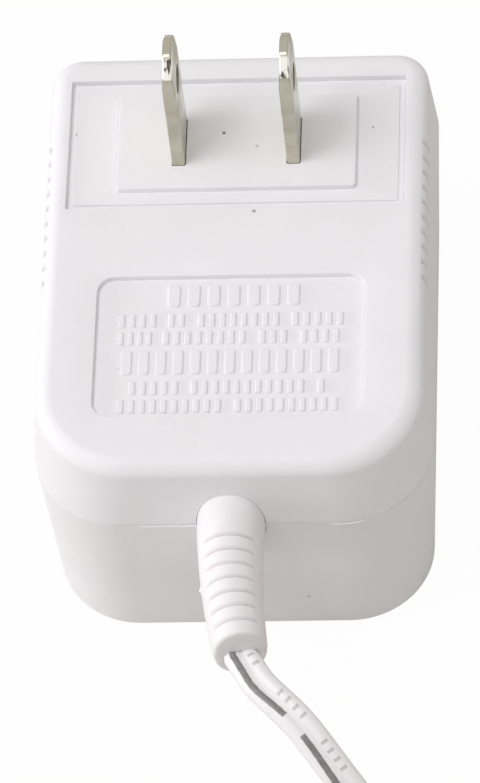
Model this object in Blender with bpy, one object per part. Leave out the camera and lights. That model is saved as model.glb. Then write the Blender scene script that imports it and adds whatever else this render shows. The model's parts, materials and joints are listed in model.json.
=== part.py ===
"""A wall-plug power adapter as an assembly of its separate pieces.

The adapter lies on its back: +Z points out of the plug face along the blades, +Y towards the blade
end of the case, and the lead leaves the other end towards -Y. The origin is on the back face, at the
middle of the case. Every length is in metres.
"""

import math

import bmesh
import bpy
from mathutils import Vector

# Case
CASE_WIDTH = 0.0436
CASE_LENGTH = 0.0572
CASE_DEPTH = 0.0319
FRONT_DEPTH = 0.0098
CASE_WALL = 0.0020
FRONT_DRAFT = math.radians(3.3)
REAR_DRAFT = math.radians(2.5)
CORNER_NEAR = 0.0102
CORNER_FAR = 0.0043
CORNER_LEAST = 0.0006
FRONT_EDGE_ROUND = 0.0021
REAR_EDGE_ROUND = 0.0010
SEAM_GAP = 0.0003
LIP_HEIGHT = 0.0015
LIP_SPLIT = 0.00085
CORNER_STEPS_NEAR = 8
CORNER_STEPS_FAR = 5
EDGE_STEPS = 5

# Clearance between pieces that seat on each other, and how far a joined rib sinks into its wall
FIT = 0.0003
SINK = 0.0008

# Plug face
BLADE_FROM_END = 0.0132
BLADE_SPACING = 0.0127
BLADE_WIDTH = 0.00635
BLADE_THICKNESS = 0.0015
BLADE_EXPOSED = 0.0175
BLADE_TAIL = 0.0058
BLADE_TIP_CHAMFER = 0.0020
BLADE_EDGE = 0.0002
BLADE_HOLE_RADIUS = 0.0016
BLADE_HOLE_HEIGHT = 0.0117
SHOULDER_WIDTH = 0.0088
SHOULDER_HEIGHT = 0.0016
RECESS_BORDER = 0.0031
RECESS_LENGTH = 0.0175
RECESS_DEPTH = 0.0007
RECESS_GROOVE = 0.0008
RECESS_STEP = 0.00025
PLATEAU_WIDTH = 0.0264
PLATEAU_LENGTH = 0.0125
PLATEAU_RISE = 0.0001

# Lower panel of the front cover
PANEL_WIDTH = 0.0294
PANEL_FROM_END = 0.00775
PANEL_TO_RECESS = 0.0092
PANEL_CORNER = 0.0020
PANEL_DEPTH = 0.0006

# Grip notches in the sides of the front cover
NOTCH_COUNT = 10
NOTCH_PITCH = 0.0020
NOTCH_WIDTH = 0.0006
NOTCH_LENGTH = 0.0022
NOTCH_DEPTH = 0.00045
NOTCH_BELOW_FACE = 0.0026
NOTCH_ROW_FROM_END = 0.0216

# Transformer: E and I laminations round a two-section bobbin
CORE_SIDE_ROOM = 0.0023
CORE_FROM_END = 0.0077
CORE_STACK = 0.0125
LEG_SHARE = 0.137
LAMINATION_COUNT = 8
LAMINATION_GROOVE = 0.00012
BOBBIN_WALL = 0.0008
BOBBIN_FLANGE = 0.0008
BOBBIN_END_ROOM = 0.00095
RAIL_INSET = 0.0034
RAIL_REACH = 0.0023
RAIL_HEIGHT = 0.0018
WINDING_SIDE_MARGIN = 0.0010
WINDING_END_MARGIN = 0.0022
WINDING_CORNER = 0.0022
TAPE_THICKNESS = 0.0004
PIN_RADIUS = 0.0004
PIN_LENGTH = 0.0034
PIN_FROM_RAIL_END = 0.0015
FUSE_LENGTH = 0.0062
FUSE_SHARE = 0.44
FUSE_THICKNESS = 0.0015

# Circuit board and what stands on it
BOARD_SIDE_ROOM = 0.0028
BOARD_END_ROOM = 0.0012
BOARD_LENGTH = 0.0150
BOARD_THICKNESS = 0.0016
BOARD_HEIGHT = 0.0080
BOARD_GAP_TO_CORE = 0.0018
DIODE_GAP = 0.0008
BOARD_MARGIN = 0.0005
DIODE_LENGTH = 0.0052
DIODE_LEAD_RADIUS = 0.0004
DIODE_SPAN = 0.0100
DIODE_BEND = 0.0008
DIODE_STAND = 0.0006
DIODE_FROM_BOARD_EDGE = 0.0040
CAPACITOR_RADIUS = 0.0040
CAPACITOR_HEIGHT = 0.0115
CAPACITOR_FROM_BOARD_EDGE = 0.0078

# Ribs and posts of the rear cover
RIB_THICKNESS = 0.0012
CRADLE_INSET = 0.0025
CRADLE_FROM_CORE_END = 0.0022
STOP_WIDTH = 0.0026
STOP_INSET = 0.0037
STOP_RISE = 0.0060
SIDE_RIB_FROM_CENTRE = 0.0060
POST_SIZE = 0.0024
POST_INSET_X = 0.0024
POST_INSET_Y = 0.0022
PRESS_RIB_WIDTH = 0.0060

# Strain relief, oval in section: its radii are half its width, and its height is more by a fixed ratio
BOOT_ROOT_RADIUS = 0.0037
BOOT_END_RADIUS = 0.0029
BOOT_OVAL = 1.38
BOOT_LENGTH = 0.0162
BOOT_BEND = 0.0015
BOOT_FLANGE_REACH = 0.0013
BOOT_FLANGE_THICKNESS = 0.0016
BOOT_HEAD = 0.0041
BOOT_GROOVE_COUNT = 7
BOOT_GROOVE_PITCH = 0.0017
BOOT_GROOVE_WIDTH = 0.0009
BOOT_GROOVE_DEPTH = 0.00045
BOOT_END_ROUND = 0.0004
BOOT_SIDES = 28

# Flat twin lead, stood on its edge where it is wound
CORD_WIDTH = 0.0042
CORD_THICKNESS = 0.0021
TURN_PITCH = 0.00215
TURNS_ACROSS = 6
TURN_LAYERS = 2
LAYER_PITCH = 0.0043
COIL_MEAN_RADIUS = 0.0220
COIL_ACROSS = 0.0015
COIL_AHEAD = 0.0424
TIE_THICKNESS = 0.0004
TIE_WIDTH = 0.0040
TIE_ANGLE = math.radians(215)
CORD_STEP = CORD_WIDTH / 2
RUN_SLOPE_COSINE = 0.86

# Plug at the lead's far end
PLUG_ACROSS = 0.0385
PLUG_AHEAD = 0.0357
GRIP_RADIUS = 0.0047
GRIP_LENGTH = 0.0170
GRIP_NECK_RADIUS = 0.0028
GRIP_NECK_LENGTH = 0.0080
GRIP_ROUND = 0.0008
GRIP_RIB_STEP = 0.0003
SLEEVE_RADIUS = 0.00275
SLEEVE_WALL = 0.00045
SLEEVE_LENGTH = 0.0095
SLEEVE_SEAT = 0.0020
LINER_WALL = 0.0004
CONTACT_RADIUS = 0.0013
CONTACT_WALL = 0.00025
CONTACT_SHORT = 0.0010
PLUG_SIDES = 28

# Wires inside the case
LEAD_RADIUS = 0.0006
LEAD_STEP = 0.0030

# Places worked out from the sizes above
SEAM_Z = CASE_DEPTH - FRONT_DEPTH
NEAR_Y = -CASE_LENGTH / 2
FAR_Y = CASE_LENGTH / 2
BLADE_Y = FAR_Y - BLADE_FROM_END
RECESS_WIDTH = CASE_WIDTH - 2 * RECESS_BORDER
PANEL_NEAR_Y = NEAR_Y + PANEL_FROM_END
PANEL_FAR_Y = BLADE_Y - RECESS_LENGTH / 2 - PANEL_TO_RECESS
NOTCH_CENTRE_Y = FAR_Y - NOTCH_ROW_FROM_END
CEILING_Z = CASE_DEPTH - CASE_WALL
PLATEAU_Z = CASE_DEPTH + PLATEAU_RISE
CORE_MID_Z = CASE_DEPTH / 2
CORE_LOW_Z = CORE_MID_Z - CORE_STACK / 2
CORE_TOP_Z = CORE_MID_Z + CORE_STACK / 2
BOARD_FAR_Y = FAR_Y - CASE_WALL - BOARD_END_ROOM
BOARD_NEAR_Y = BOARD_FAR_Y - BOARD_LENGTH
BOARD_MID_Y = (BOARD_NEAR_Y + BOARD_FAR_Y) / 2
BOARD_TOP_Z = BOARD_HEIGHT + BOARD_THICKNESS
BOARD_WIDTH = CASE_WIDTH - 2 * (CASE_WALL + BOARD_SIDE_ROOM)
CORE_WIDTH = CASE_WIDTH - 2 * (CASE_WALL + CORE_SIDE_ROOM)
CORE_NEAR_Y = NEAR_Y + CORE_FROM_END
CORE_FAR_Y = BOARD_NEAR_Y - BOARD_GAP_TO_CORE
CORE_LENGTH = CORE_FAR_Y - CORE_NEAR_Y
CORE_CENTRE_Y = (CORE_NEAR_Y + CORE_FAR_Y) / 2
CORE_LEG = LEG_SHARE * CORE_WIDTH
WINDOW_LENGTH = CORE_LENGTH - 2 * CORE_LEG
BOBBIN_HALF_LENGTH = WINDOW_LENGTH / 2 - FIT
BOBBIN_HALF_WIDTH = CORE_WIDTH / 2 - CORE_LEG - FIT
BOBBIN_HALF_HEIGHT = CASE_DEPTH / 2 - CASE_WALL - BOBBIN_END_ROOM
WINDING_HALF_WIDTH = BOBBIN_HALF_WIDTH - WINDING_SIDE_MARGIN
WINDING_HALF_HEIGHT = BOBBIN_HALF_HEIGHT - WINDING_END_MARGIN
RAIL_WIDTH = 2 * (BOBBIN_HALF_WIDTH - RAIL_INSET)
PIN_HALF_SPACING = RAIL_WIDTH / 2 - PIN_FROM_RAIL_END
DIODE_PITCH = (BOARD_LENGTH - 2 * BOARD_MARGIN) / 4
DIODE_RADIUS = (DIODE_PITCH - DIODE_GAP) / 2
DIODE_CENTRE_X = DIODE_FROM_BOARD_EDGE + DIODE_SPAN / 2 - BOARD_WIDTH / 2
CAPACITOR_X = BOARD_WIDTH / 2 - CAPACITOR_FROM_BOARD_EDGE
TAIL_Z = CASE_DEPTH - BLADE_TAIL
COIL_BASE_Z = TIE_THICKNESS + FIT
COIL_HEIGHT = TURN_LAYERS * LAYER_PITCH
COIL_BAND = TURNS_ACROSS * TURN_PITCH
COIL_OUTER = COIL_MEAN_RADIUS + COIL_BAND / 2
COIL_INNER = COIL_MEAN_RADIUS - COIL_BAND / 2
LOW_TURN_Z = COIL_BASE_Z + LAYER_PITCH / 2
HIGH_TURN_Z = COIL_BASE_Z + COIL_HEIGHT - LAYER_PITCH / 2
MOUTH_X = BOOT_BEND
MOUTH_Y = NEAR_Y - BOOT_LENGTH
COIL_CENTRE = (MOUTH_X + COIL_ACROSS, MOUTH_Y - COIL_AHEAD)
PLUG_X = MOUTH_X + PLUG_ACROSS
PLUG_START_Y = MOUTH_Y - PLUG_AHEAD

# The lead's route where it isn't wound, from the strain relief to the coil and from the coil to the plug:
# how far to the side and ahead of the strain relief's mouth each point lies, and its height
RUN_ROUTE = [
    (0.00072, 0.00115, SEAM_Z),
    (0.00126, 0.00191, 0.0220),
    (0.00203, 0.00307, 0.0218),
    (0.00332, 0.00448, 0.0215),
    (0.00460, 0.00574, 0.0211),
    (0.00682, 0.00807, 0.0200),
    (0.00869, 0.01024, 0.0187),
    (0.01055, 0.01229, 0.0171),
    (0.01230, 0.01410, 0.0155),
    (0.01450, 0.01640, 0.0133),
    (0.01680, 0.01880, 0.0110),
    (0.01910, 0.02120, 0.0089),
    (0.02134, 0.02350, 0.0075),
]
TAIL_ROUTE = [
    (0.0086, 0.0159, LOW_TURN_Z),
    (0.0165, 0.0176, LOW_TURN_Z),
    (0.0240, 0.0190, LOW_TURN_Z),
    (0.0307, 0.0215, 0.0032),
    (0.0356, 0.0258, 0.0038),
    (0.0379, 0.0309, 0.0044),
    (PLUG_ACROSS, PLUG_AHEAD, GRIP_RADIUS + FIT),
]


def clear_scene():
    for item in list(bpy.data.objects):
        bpy.data.objects.remove(item, do_unlink=True)


def material(name, colour, roughness, metallic=0.0):
    """A Principled material; colour is (red, green, blue)."""
    made = bpy.data.materials.new(name)
    made.use_nodes = True
    shader = made.node_tree.nodes["Principled BSDF"]
    shader.inputs["Base Color"].default_value = (*colour, 1.0)
    shader.inputs["Roughness"].default_value = roughness
    shader.inputs["Metallic"].default_value = metallic
    made.diffuse_color = (*colour, 1.0)
    return made


def object_from(name, bm, finish, smooth_degrees=35):
    """Turns a bmesh into a linked object with its normals out."""
    bmesh.ops.recalc_face_normals(bm, faces=bm.faces[:])
    mesh = bpy.data.meshes.new(name)
    bm.to_mesh(mesh)
    bm.free()
    mesh.shade_smooth()
    mesh.set_sharp_from_angle(angle=math.radians(smooth_degrees))
    made = bpy.data.objects.new(name, mesh)
    bpy.context.scene.collection.objects.link(made)
    if finish is not None:
        mesh.materials.append(finish)
    return made


def helper(name, bm):
    """An object that only shapes another one."""
    made = object_from(name, bm, None)
    made.hide_render = True
    made.display_type = "WIRE"
    return made


def shape_with(target, tool, operation):
    change = target.modifiers.new(tool.name, "BOOLEAN")
    change.operation = operation
    change.solver = "EXACT"
    change.object = tool


def cut(target, name, bm):
    shape_with(target, helper(name, bm), "DIFFERENCE")


def join(target, name, bm):
    shape_with(target, helper(name, bm), "UNION")


def loft(bm, rings, closed=False):
    """Skins rings of equally many points, capped at both ends or, when closed, joined end to start."""
    rows = [[bm.verts.new(point) for point in ring] for ring in rings]
    count = len(rows[0])
    pairs = list(zip(rows, rows[1:]))
    if closed:
        pairs.append((rows[-1], rows[0]))
    for low, high in pairs:
        for i in range(count):
            j = (i + 1) % count
            bm.faces.new((low[i], low[j], high[j], high[i]))
    if not closed:
        bm.faces.new(rows[0])
        bm.faces.new(rows[-1])
    return bm


def rounded_outline(low, high, radii, steps):
    """Points round a rectangle whose corners (low x low y first, then turning left) have these radii."""
    corners = [(high[0], low[1]), (high[0], high[1]), (low[0], high[1]), (low[0], low[1])]
    signs = [(-1, 1), (-1, -1), (1, -1), (1, 1)]
    points = []
    for k, ((x, y), (sx, sy)) in enumerate(zip(corners, signs)):
        radius = radii[k]
        start = math.radians(-90 + 90 * k)
        for i in range(steps[k] + 1):
            angle = start + math.pi / 2 * i / steps[k]
            points.append(
                (x + sx * radius + radius * math.cos(angle), y + sy * radius + radius * math.sin(angle))
            )
    return points


def prism(bm, outline, low, high, axis="Z"):
    """Extrudes a closed outline from low to high along an axis; the outline is in the other two axes."""

    def place(u, v, w):
        return {"X": (w, u, v), "Y": (u, w, v), "Z": (u, v, w)}[axis]

    return loft(bm, [[place(u, v, w) for u, v in outline] for w in (low, high)])


def box(bm, low, high):
    corners = [(low[0], low[1]), (high[0], low[1]), (high[0], high[1]), (low[0], high[1])]
    return prism(bm, corners, low[2], high[2])


def centred_box(bm, centre, size, low_z, high_z):
    half_x = size[0] / 2
    half_y = size[1] / 2
    low = (centre[0] - half_x, centre[1] - half_y, low_z)
    return box(bm, low, (centre[0] + half_x, centre[1] + half_y, high_z))


def turned_rings(profile, sides, centre, along="Z"):
    """Rings of a turned shape: profile holds (distance along the axis, radius)."""
    rings = []
    for distance, radius in profile:
        ring = []
        for i in range(sides):
            angle = 2 * math.pi * i / sides
            a = radius * math.cos(angle)
            b = radius * math.sin(angle)
            offset = {"Z": (a, b, distance), "Y": (a, distance, b)}[along]
            ring.append(tuple(c + o for c, o in zip(centre, offset)))
        rings.append(ring)
    return rings


def smooth_route(points, step):
    """Points a step apart on a Catmull-Rom curve through the given ones, both ends kept."""
    knots = [Vector(p) for p in points]
    knots = [2 * knots[0] - knots[1], *knots, 2 * knots[-1] - knots[-2]]
    fine = []
    pieces = 16
    for a, b, c, d in zip(knots, knots[1:], knots[2:], knots[3:]):
        for i in range(pieces):
            t = i / pieces
            fine.append(
                0.5
                * (
                    2 * b
                    + (c - a) * t
                    + (2 * a - 5 * b + 4 * c - d) * t**2
                    + (3 * b - a - 3 * c + d) * t**3
                )
            )
    fine.append(knots[-2])
    lengths = [0.0]
    for p, q in zip(fine, fine[1:]):
        lengths.append(lengths[-1] + (q - p).length)
    count = max(2, round(lengths[-1] / step))
    even = []
    place = 0
    for i in range(count + 1):
        want = lengths[-1] * i / count
        while place < len(fine) - 2 and lengths[place + 1] < want:
            place += 1
        span = lengths[place + 1] - lengths[place]
        even.append(fine[place].lerp(fine[place + 1], (want - lengths[place]) / span))
    return even


def tube(name, points, radius, finish, resolution=2):
    """A round tube along the points, with filled ends."""
    curve = bpy.data.curves.new(name, "CURVE")
    curve.dimensions = "3D"
    curve.bevel_depth = radius
    curve.bevel_resolution = resolution
    curve.use_fill_caps = True
    spline = curve.splines.new("POLY")
    spline.points.add(len(points) - 1)
    for knot, point in zip(spline.points, points):
        knot.co = (*point, 1.0)
    spline.use_smooth = True
    made = bpy.data.objects.new(name, curve)
    bpy.context.scene.collection.objects.link(made)
    curve.materials.append(finish)
    return made


def draft_inset(z):
    """How far the case's side has come in at this height because of the mould's draft."""
    if z >= SEAM_Z:
        return (z - SEAM_Z) * math.tan(FRONT_DRAFT)
    return (SEAM_Z - z) * math.tan(REAR_DRAFT)


def case_ring(z, inset):
    """The case's outline at a height, drawn in by the draft and by a further inset."""
    inward = inset + draft_inset(z)
    low = (-CASE_WIDTH / 2 + inward, NEAR_Y + inward)
    high = (CASE_WIDTH / 2 - inward, FAR_Y - inward)
    near = max(CORNER_NEAR - inward, CORNER_LEAST)
    far = max(CORNER_FAR - inward, CORNER_LEAST)
    radii = [near, far, far, near]
    steps = [CORNER_STEPS_NEAR, CORNER_STEPS_FAR, CORNER_STEPS_FAR, CORNER_STEPS_NEAR]
    return [(x, y, z) for x, y in rounded_outline(low, high, radii, steps)]


def edge_rings(face_z, towards, radius, inset):
    """Rings of a rounded edge from a flat face (at face_z) to the wall; towards is the wall's side."""
    rings = []
    for i in range(EDGE_STEPS + 1):
        angle = math.pi / 2 * i / EDGE_STEPS
        z = face_z + towards * radius * (1 - math.cos(angle))
        rings.append(case_ring(z, inset + radius * (1 - math.sin(angle))))
    return rings


def make_front_cover(finish):
    rim = SEAM_Z + SEAM_GAP / 2
    rebate = rim + LIP_HEIGHT
    inner_round = max(FRONT_EDGE_ROUND - CASE_WALL, CORNER_LEAST)
    rings = edge_rings(CASE_DEPTH, -1, FRONT_EDGE_ROUND, 0.0)
    rings.append(case_ring(rim, 0.0))
    rings.append(case_ring(rim, LIP_SPLIT))
    rings.append(case_ring(rebate, LIP_SPLIT))
    rings.append(case_ring(rebate, CASE_WALL))
    rings += reversed(edge_rings(CEILING_Z, -1, inner_round, CASE_WALL))
    cover = object_from("front_cover", loft(bmesh.new(), rings), finish)

    cut(cover, "recess_cut", recess_shape())
    cut(cover, "groove_cut", groove_shape())
    join(cover, "plateau_pad", plateau_shape())
    cut(cover, "panel_cut", panel_shape())
    cut(cover, "notch_cuts", notch_shapes())
    cut(cover, "blade_slots", blade_slots())
    cut(cover, "front_boot_bore", boot_bore())
    join(cover, "press_ribs", press_ribs())
    return cover


def recess_shape():
    return centred_box(
        bmesh.new(),
        (0, BLADE_Y),
        (RECESS_WIDTH, RECESS_LENGTH),
        CASE_DEPTH - RECESS_DEPTH + RECESS_STEP,
        CASE_DEPTH + CASE_WALL,
    )


def groove_shape():
    """A rectangular frame that deepens the border of the recess."""
    low_z = CASE_DEPTH - RECESS_DEPTH
    high_z = CASE_DEPTH + CASE_WALL
    rings = []
    for z, inward in ((low_z, 0.0), (high_z, 0.0), (high_z, RECESS_GROOVE), (low_z, RECESS_GROOVE)):
        x = RECESS_WIDTH / 2 - inward
        y = RECESS_LENGTH / 2 - inward
        rings.append([(sx * x, BLADE_Y + sy * y, z) for sx, sy in ((-1, -1), (1, -1), (1, 1), (-1, 1))])
    return loft(bmesh.new(), rings, closed=True)


def plateau_shape():
    return centred_box(
        bmesh.new(),
        (0, BLADE_Y),
        (PLATEAU_WIDTH, PLATEAU_LENGTH),
        CASE_DEPTH - RECESS_DEPTH - SINK,
        PLATEAU_Z,
    )


def panel_shape():
    low = (-PANEL_WIDTH / 2, PANEL_NEAR_Y)
    high = (PANEL_WIDTH / 2, PANEL_FAR_Y)
    outline = rounded_outline(low, high, [PANEL_CORNER] * 4, [4] * 4)
    return prism(bmesh.new(), outline, CASE_DEPTH - PANEL_DEPTH, CASE_DEPTH + CASE_WALL)


def notch_shapes():
    """Short upright slots with a sloped lower end, in a row on each side."""
    bm = bmesh.new()
    top_z = CASE_DEPTH
    low_z = CASE_DEPTH - NOTCH_BELOW_FACE - NOTCH_LENGTH / 2
    side_x = CASE_WIDTH / 2 - draft_inset(CASE_DEPTH - NOTCH_BELOW_FACE)
    floor_x = side_x - NOTCH_DEPTH
    beyond_x = side_x + CASE_WALL
    for side in (-1, 1):
        for i in range(NOTCH_COUNT):
            y = NOTCH_CENTRE_Y + (i - (NOTCH_COUNT - 1) / 2) * NOTCH_PITCH
            outline = [
                (floor_x, top_z),
                (floor_x, low_z + NOTCH_DEPTH),
                (beyond_x, low_z - CASE_WALL),
                (beyond_x, top_z),
            ]
            rings = [
                [(side * u, w, v) for u, v in outline]
                for w in (y - NOTCH_WIDTH / 2, y + NOTCH_WIDTH / 2)
            ]
            loft(bm, rings)
    return bm


def blade_slots():
    bm = bmesh.new()
    for side in (-1, 1):
        size = (BLADE_THICKNESS + 2 * FIT, BLADE_WIDTH + 2 * FIT)
        centre = (side * BLADE_SPACING / 2, BLADE_Y)
        centred_box(bm, centre, size, CEILING_Z - SINK, PLATEAU_Z + SINK)
    return bm


def boot_bore():
    """The oval hole for the strain relief, half in each cover."""
    across = BOOT_ROOT_RADIUS + FIT
    up = BOOT_OVAL * BOOT_ROOT_RADIUS + FIT
    inner = NEAR_Y + CASE_WALL + draft_inset(SEAM_Z + up) + LIP_SPLIT
    rings = []
    for y in (NEAR_Y - SINK, inner):
        angles = [2 * math.pi * i / BOOT_SIDES for i in range(BOOT_SIDES)]
        rings.append([(across * math.cos(a), y, SEAM_Z + up * math.sin(a)) for a in angles])
    return loft(bmesh.new(), rings)


def press_ribs():
    """Two ribs under the front wall that hold the core down by its yokes."""
    bm = bmesh.new()
    inset = CRADLE_FROM_CORE_END / 2
    for y in (CORE_NEAR_Y + inset, CORE_FAR_Y - inset):
        centred_box(
            bm, (0, y), (PRESS_RIB_WIDTH, RIB_THICKNESS), CORE_TOP_Z + FIT, CEILING_Z + SINK
        )
    return bm


def make_rear_cover(finish):
    rim = SEAM_Z - SEAM_GAP / 2
    tongue = SEAM_Z + SEAM_GAP / 2 + LIP_HEIGHT - FIT
    inner_round = max(REAR_EDGE_ROUND, CORNER_LEAST)
    rings = edge_rings(0.0, 1, REAR_EDGE_ROUND, 0.0)
    rings.append(case_ring(rim, 0.0))
    rings.append(case_ring(rim, LIP_SPLIT + FIT))
    rings.append(case_ring(tongue, LIP_SPLIT + FIT))
    rings.append(case_ring(tongue, CASE_WALL))
    rings.append(case_ring(rim, CASE_WALL))
    rings += reversed(edge_rings(CASE_WALL, 1, inner_round, CASE_WALL))
    cover = object_from("rear_cover", loft(bmesh.new(), rings), finish)
    cut(cover, "rear_boot_bore", boot_bore())
    join(cover, "cradle_ribs", cradle_ribs())
    join(cover, "side_ribs", side_ribs())
    join(cover, "board_posts", board_posts())
    return cover


def cradle_ribs():
    """Cross ribs under the core's yokes, each with two stops that rise past the core's end face."""
    bm = bmesh.new()
    base = CASE_WALL - SINK
    for end, out in ((CORE_NEAR_Y, -1), (CORE_FAR_Y, 1)):
        rib_y = end - out * CRADLE_FROM_CORE_END
        stop_y = end + out * (FIT + RIB_THICKNESS / 2)
        top = CORE_LOW_Z - FIT
        cradle_width = CORE_WIDTH - 2 * CRADLE_INSET
        centred_box(bm, (0, rib_y), (cradle_width, RIB_THICKNESS), base, top)
        for side in (-1, 1):
            centre = (side * (CORE_WIDTH / 2 - STOP_INSET), stop_y)
            centred_box(bm, centre, (STOP_WIDTH, RIB_THICKNESS), base, CORE_LOW_Z + STOP_RISE)
    return bm


def side_ribs():
    """Upright ribs on the long walls that keep the core from sliding sideways."""
    bm = bmesh.new()
    top = CORE_LOW_Z + STOP_RISE
    inner_x = CORE_WIDTH / 2 + FIT
    outer_x = CASE_WIDTH / 2 - draft_inset(0.0) - CASE_WALL + SINK
    for side in (-1, 1):
        for along in (-1, 1):
            y = CORE_CENTRE_Y + along * SIDE_RIB_FROM_CENTRE
            low_x = min(side * inner_x, side * outer_x)
            high_x = max(side * inner_x, side * outer_x)
            low = (low_x, y - RIB_THICKNESS / 2, CASE_WALL - SINK)
            box(bm, low, (high_x, y + RIB_THICKNESS / 2, top))
    return bm


def board_posts():
    bm = bmesh.new()
    for side in (-1, 1):
        x = side * (BOARD_WIDTH / 2 - POST_INSET_X)
        for y in (BOARD_NEAR_Y + POST_INSET_Y, BOARD_FAR_Y - POST_INSET_Y):
            centred_box(bm, (x, y), (POST_SIZE, POST_SIZE), CASE_WALL - SINK, BOARD_HEIGHT - FIT)
    return bm


def make_blade(name, x, finish):
    """A flat blade with a chamfered tip, a hole near it, and a shoulder behind the front wall."""
    half = BLADE_WIDTH / 2
    shoulder = SHOULDER_WIDTH / 2
    chamfer = BLADE_TIP_CHAMFER
    tip = PLATEAU_Z + BLADE_EXPOSED
    under = CEILING_Z - FIT
    right = [
        (half, TAIL_Z),
        (half, under - SHOULDER_HEIGHT),
        (shoulder, under - SHOULDER_HEIGHT),
        (shoulder, under),
        (half, under),
        (half, tip - chamfer),
        (half - chamfer, tip),
    ]
    outline = [(BLADE_Y + y, z) for y, z in right]
    outline += [(BLADE_Y - y, z) for y, z in reversed(right)]
    bm = prism(bmesh.new(), outline, x - BLADE_THICKNESS / 2, x + BLADE_THICKNESS / 2, "X")
    long_edges = [e for e in bm.edges if abs(e.verts[0].co.x - e.verts[1].co.x) < BLADE_EDGE / 10]
    bmesh.ops.bevel(bm, geom=long_edges, offset=BLADE_EDGE, segments=1, affect="EDGES")
    blade = object_from(name, bm, finish)
    centre = (x, BLADE_Y, PLATEAU_Z + BLADE_HOLE_HEIGHT)
    reach = BLADE_THICKNESS
    hole = []
    for dx in (-reach, reach):
        ring = []
        for i in range(20):
            angle = 2 * math.pi * i / 20
            dy = BLADE_HOLE_RADIUS * math.cos(angle)
            dz = BLADE_HOLE_RADIUS * math.sin(angle)
            ring.append((centre[0] + dx, centre[1] + dy, centre[2] + dz))
        hole.append(ring)
    cut(blade, name + "_hole", loft(bmesh.new(), hole))
    return blade


def make_core(finish):
    """The laminated stack, its plates shown as shallow grooves, with a window on each side of the leg."""
    rings = []
    pitch = CORE_STACK / LAMINATION_COUNT
    for i in range(LAMINATION_COUNT):
        z = CORE_LOW_Z + i * pitch
        for level, inward in ((z, LAMINATION_GROOVE), (z + pitch / 4, 0.0), (z + pitch * 3 / 4, 0.0)):
            x = CORE_WIDTH / 2 - inward
            y = CORE_LENGTH / 2 - inward
            rings.append(
                [
                    (sx * x, CORE_CENTRE_Y + sy * y, level)
                    for sx, sy in ((-1, -1), (1, -1), (1, 1), (-1, 1))
                ]
            )
    x = CORE_WIDTH / 2 - LAMINATION_GROOVE
    y = CORE_LENGTH / 2 - LAMINATION_GROOVE
    corners = ((-1, -1), (1, -1), (1, 1), (-1, 1))
    rings.append([(sx * x, CORE_CENTRE_Y + sy * y, CORE_TOP_Z) for sx, sy in corners])
    core = object_from("transformer_core", loft(bmesh.new(), rings), finish, 5)
    windows = bmesh.new()
    window_width = CORE_WIDTH / 2 - 2 * CORE_LEG
    for side in (-1, 1):
        centre = (side * (CORE_LEG + window_width / 2), CORE_CENTRE_Y)
        size = (window_width, WINDOW_LENGTH)
        centred_box(windows, centre, size, CORE_LOW_Z - SINK, CORE_TOP_Z + SINK)
    cut(core, "core_windows", windows)
    return core


def rounded_section(half_x, half_z, radius, y):
    """A ring in the plane across Y, centred on the core's middle leg."""
    low = (-half_x, CORE_MID_Z - half_z)
    high = (half_x, CORE_MID_Z + half_z)
    steps = [3] * 4
    return [(u, y, v) for u, v in rounded_outline(low, high, [radius] * 4, steps)]


def sleeve_round_leg(name, inner, outer, span, radius, finish):
    """A rectangular tube round the core's middle leg: inner and outer are half sizes (x, z)."""
    inner_radius = max(radius - (outer[0] - inner[0]), CORNER_LEAST)
    rings = [
        rounded_section(*outer, radius, span[0]),
        rounded_section(*outer, radius, span[1]),
        rounded_section(*inner, inner_radius, span[1]),
        rounded_section(*inner, inner_radius, span[0]),
    ]
    return object_from(name, loft(bmesh.new(), rings, closed=True), finish)


def bobbin_inner():
    return (CORE_LEG + FIT, CORE_STACK / 2 + FIT)


def bobbin_outer():
    x, z = bobbin_inner()
    return (x + BOBBIN_WALL, z + BOBBIN_WALL)


def make_bobbin(finish):
    """A tube with an end flange at each side, a divider in the middle and two terminal rails."""
    near = CORE_CENTRE_Y - BOBBIN_HALF_LENGTH
    far = CORE_CENTRE_Y + BOBBIN_HALF_LENGTH
    half = BOBBIN_FLANGE / 2
    small = bobbin_outer()
    large = (BOBBIN_HALF_WIDTH, BOBBIN_HALF_HEIGHT)
    rings = []
    flanges = ((near, near + 2 * half), (CORE_CENTRE_Y - half, CORE_CENTRE_Y + half), (far - 2 * half, far))
    for a, b in flanges:
        if rings:
            rings.append(rounded_section(*small, CORNER_LEAST, a))
        rings.append(rounded_section(*large, CORNER_LEAST, a))
        rings.append(rounded_section(*large, CORNER_LEAST, b))
        if b != far:
            rings.append(rounded_section(*small, CORNER_LEAST, b))
    rings.append(rounded_section(*bobbin_inner(), CORNER_LEAST / 2, far))
    rings.append(rounded_section(*bobbin_inner(), CORNER_LEAST / 2, near))
    bobbin = object_from("bobbin", loft(bmesh.new(), rings, closed=True), finish)
    rails = bmesh.new()
    for end, out in ((near, -1), (far, 1)):
        low_y, high_y = sorted((end - out * half, end + out * RAIL_REACH))
        low = (-RAIL_WIDTH / 2, low_y, CORE_TOP_Z + FIT)
        box(rails, low, (RAIL_WIDTH / 2, high_y, CORE_TOP_Z + FIT + RAIL_HEIGHT))
    join(bobbin, "terminal_rails", rails)
    return bobbin


def winding_span(side):
    """The clear stretch of one winding section, with a gap to the flange and the divider."""
    inner = BOBBIN_FLANGE / 2 + FIT
    outer = BOBBIN_HALF_LENGTH - BOBBIN_FLANGE - FIT
    low, high = sorted((side * inner, side * outer))
    return (CORE_CENTRE_Y + low, CORE_CENTRE_Y + high)


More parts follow.
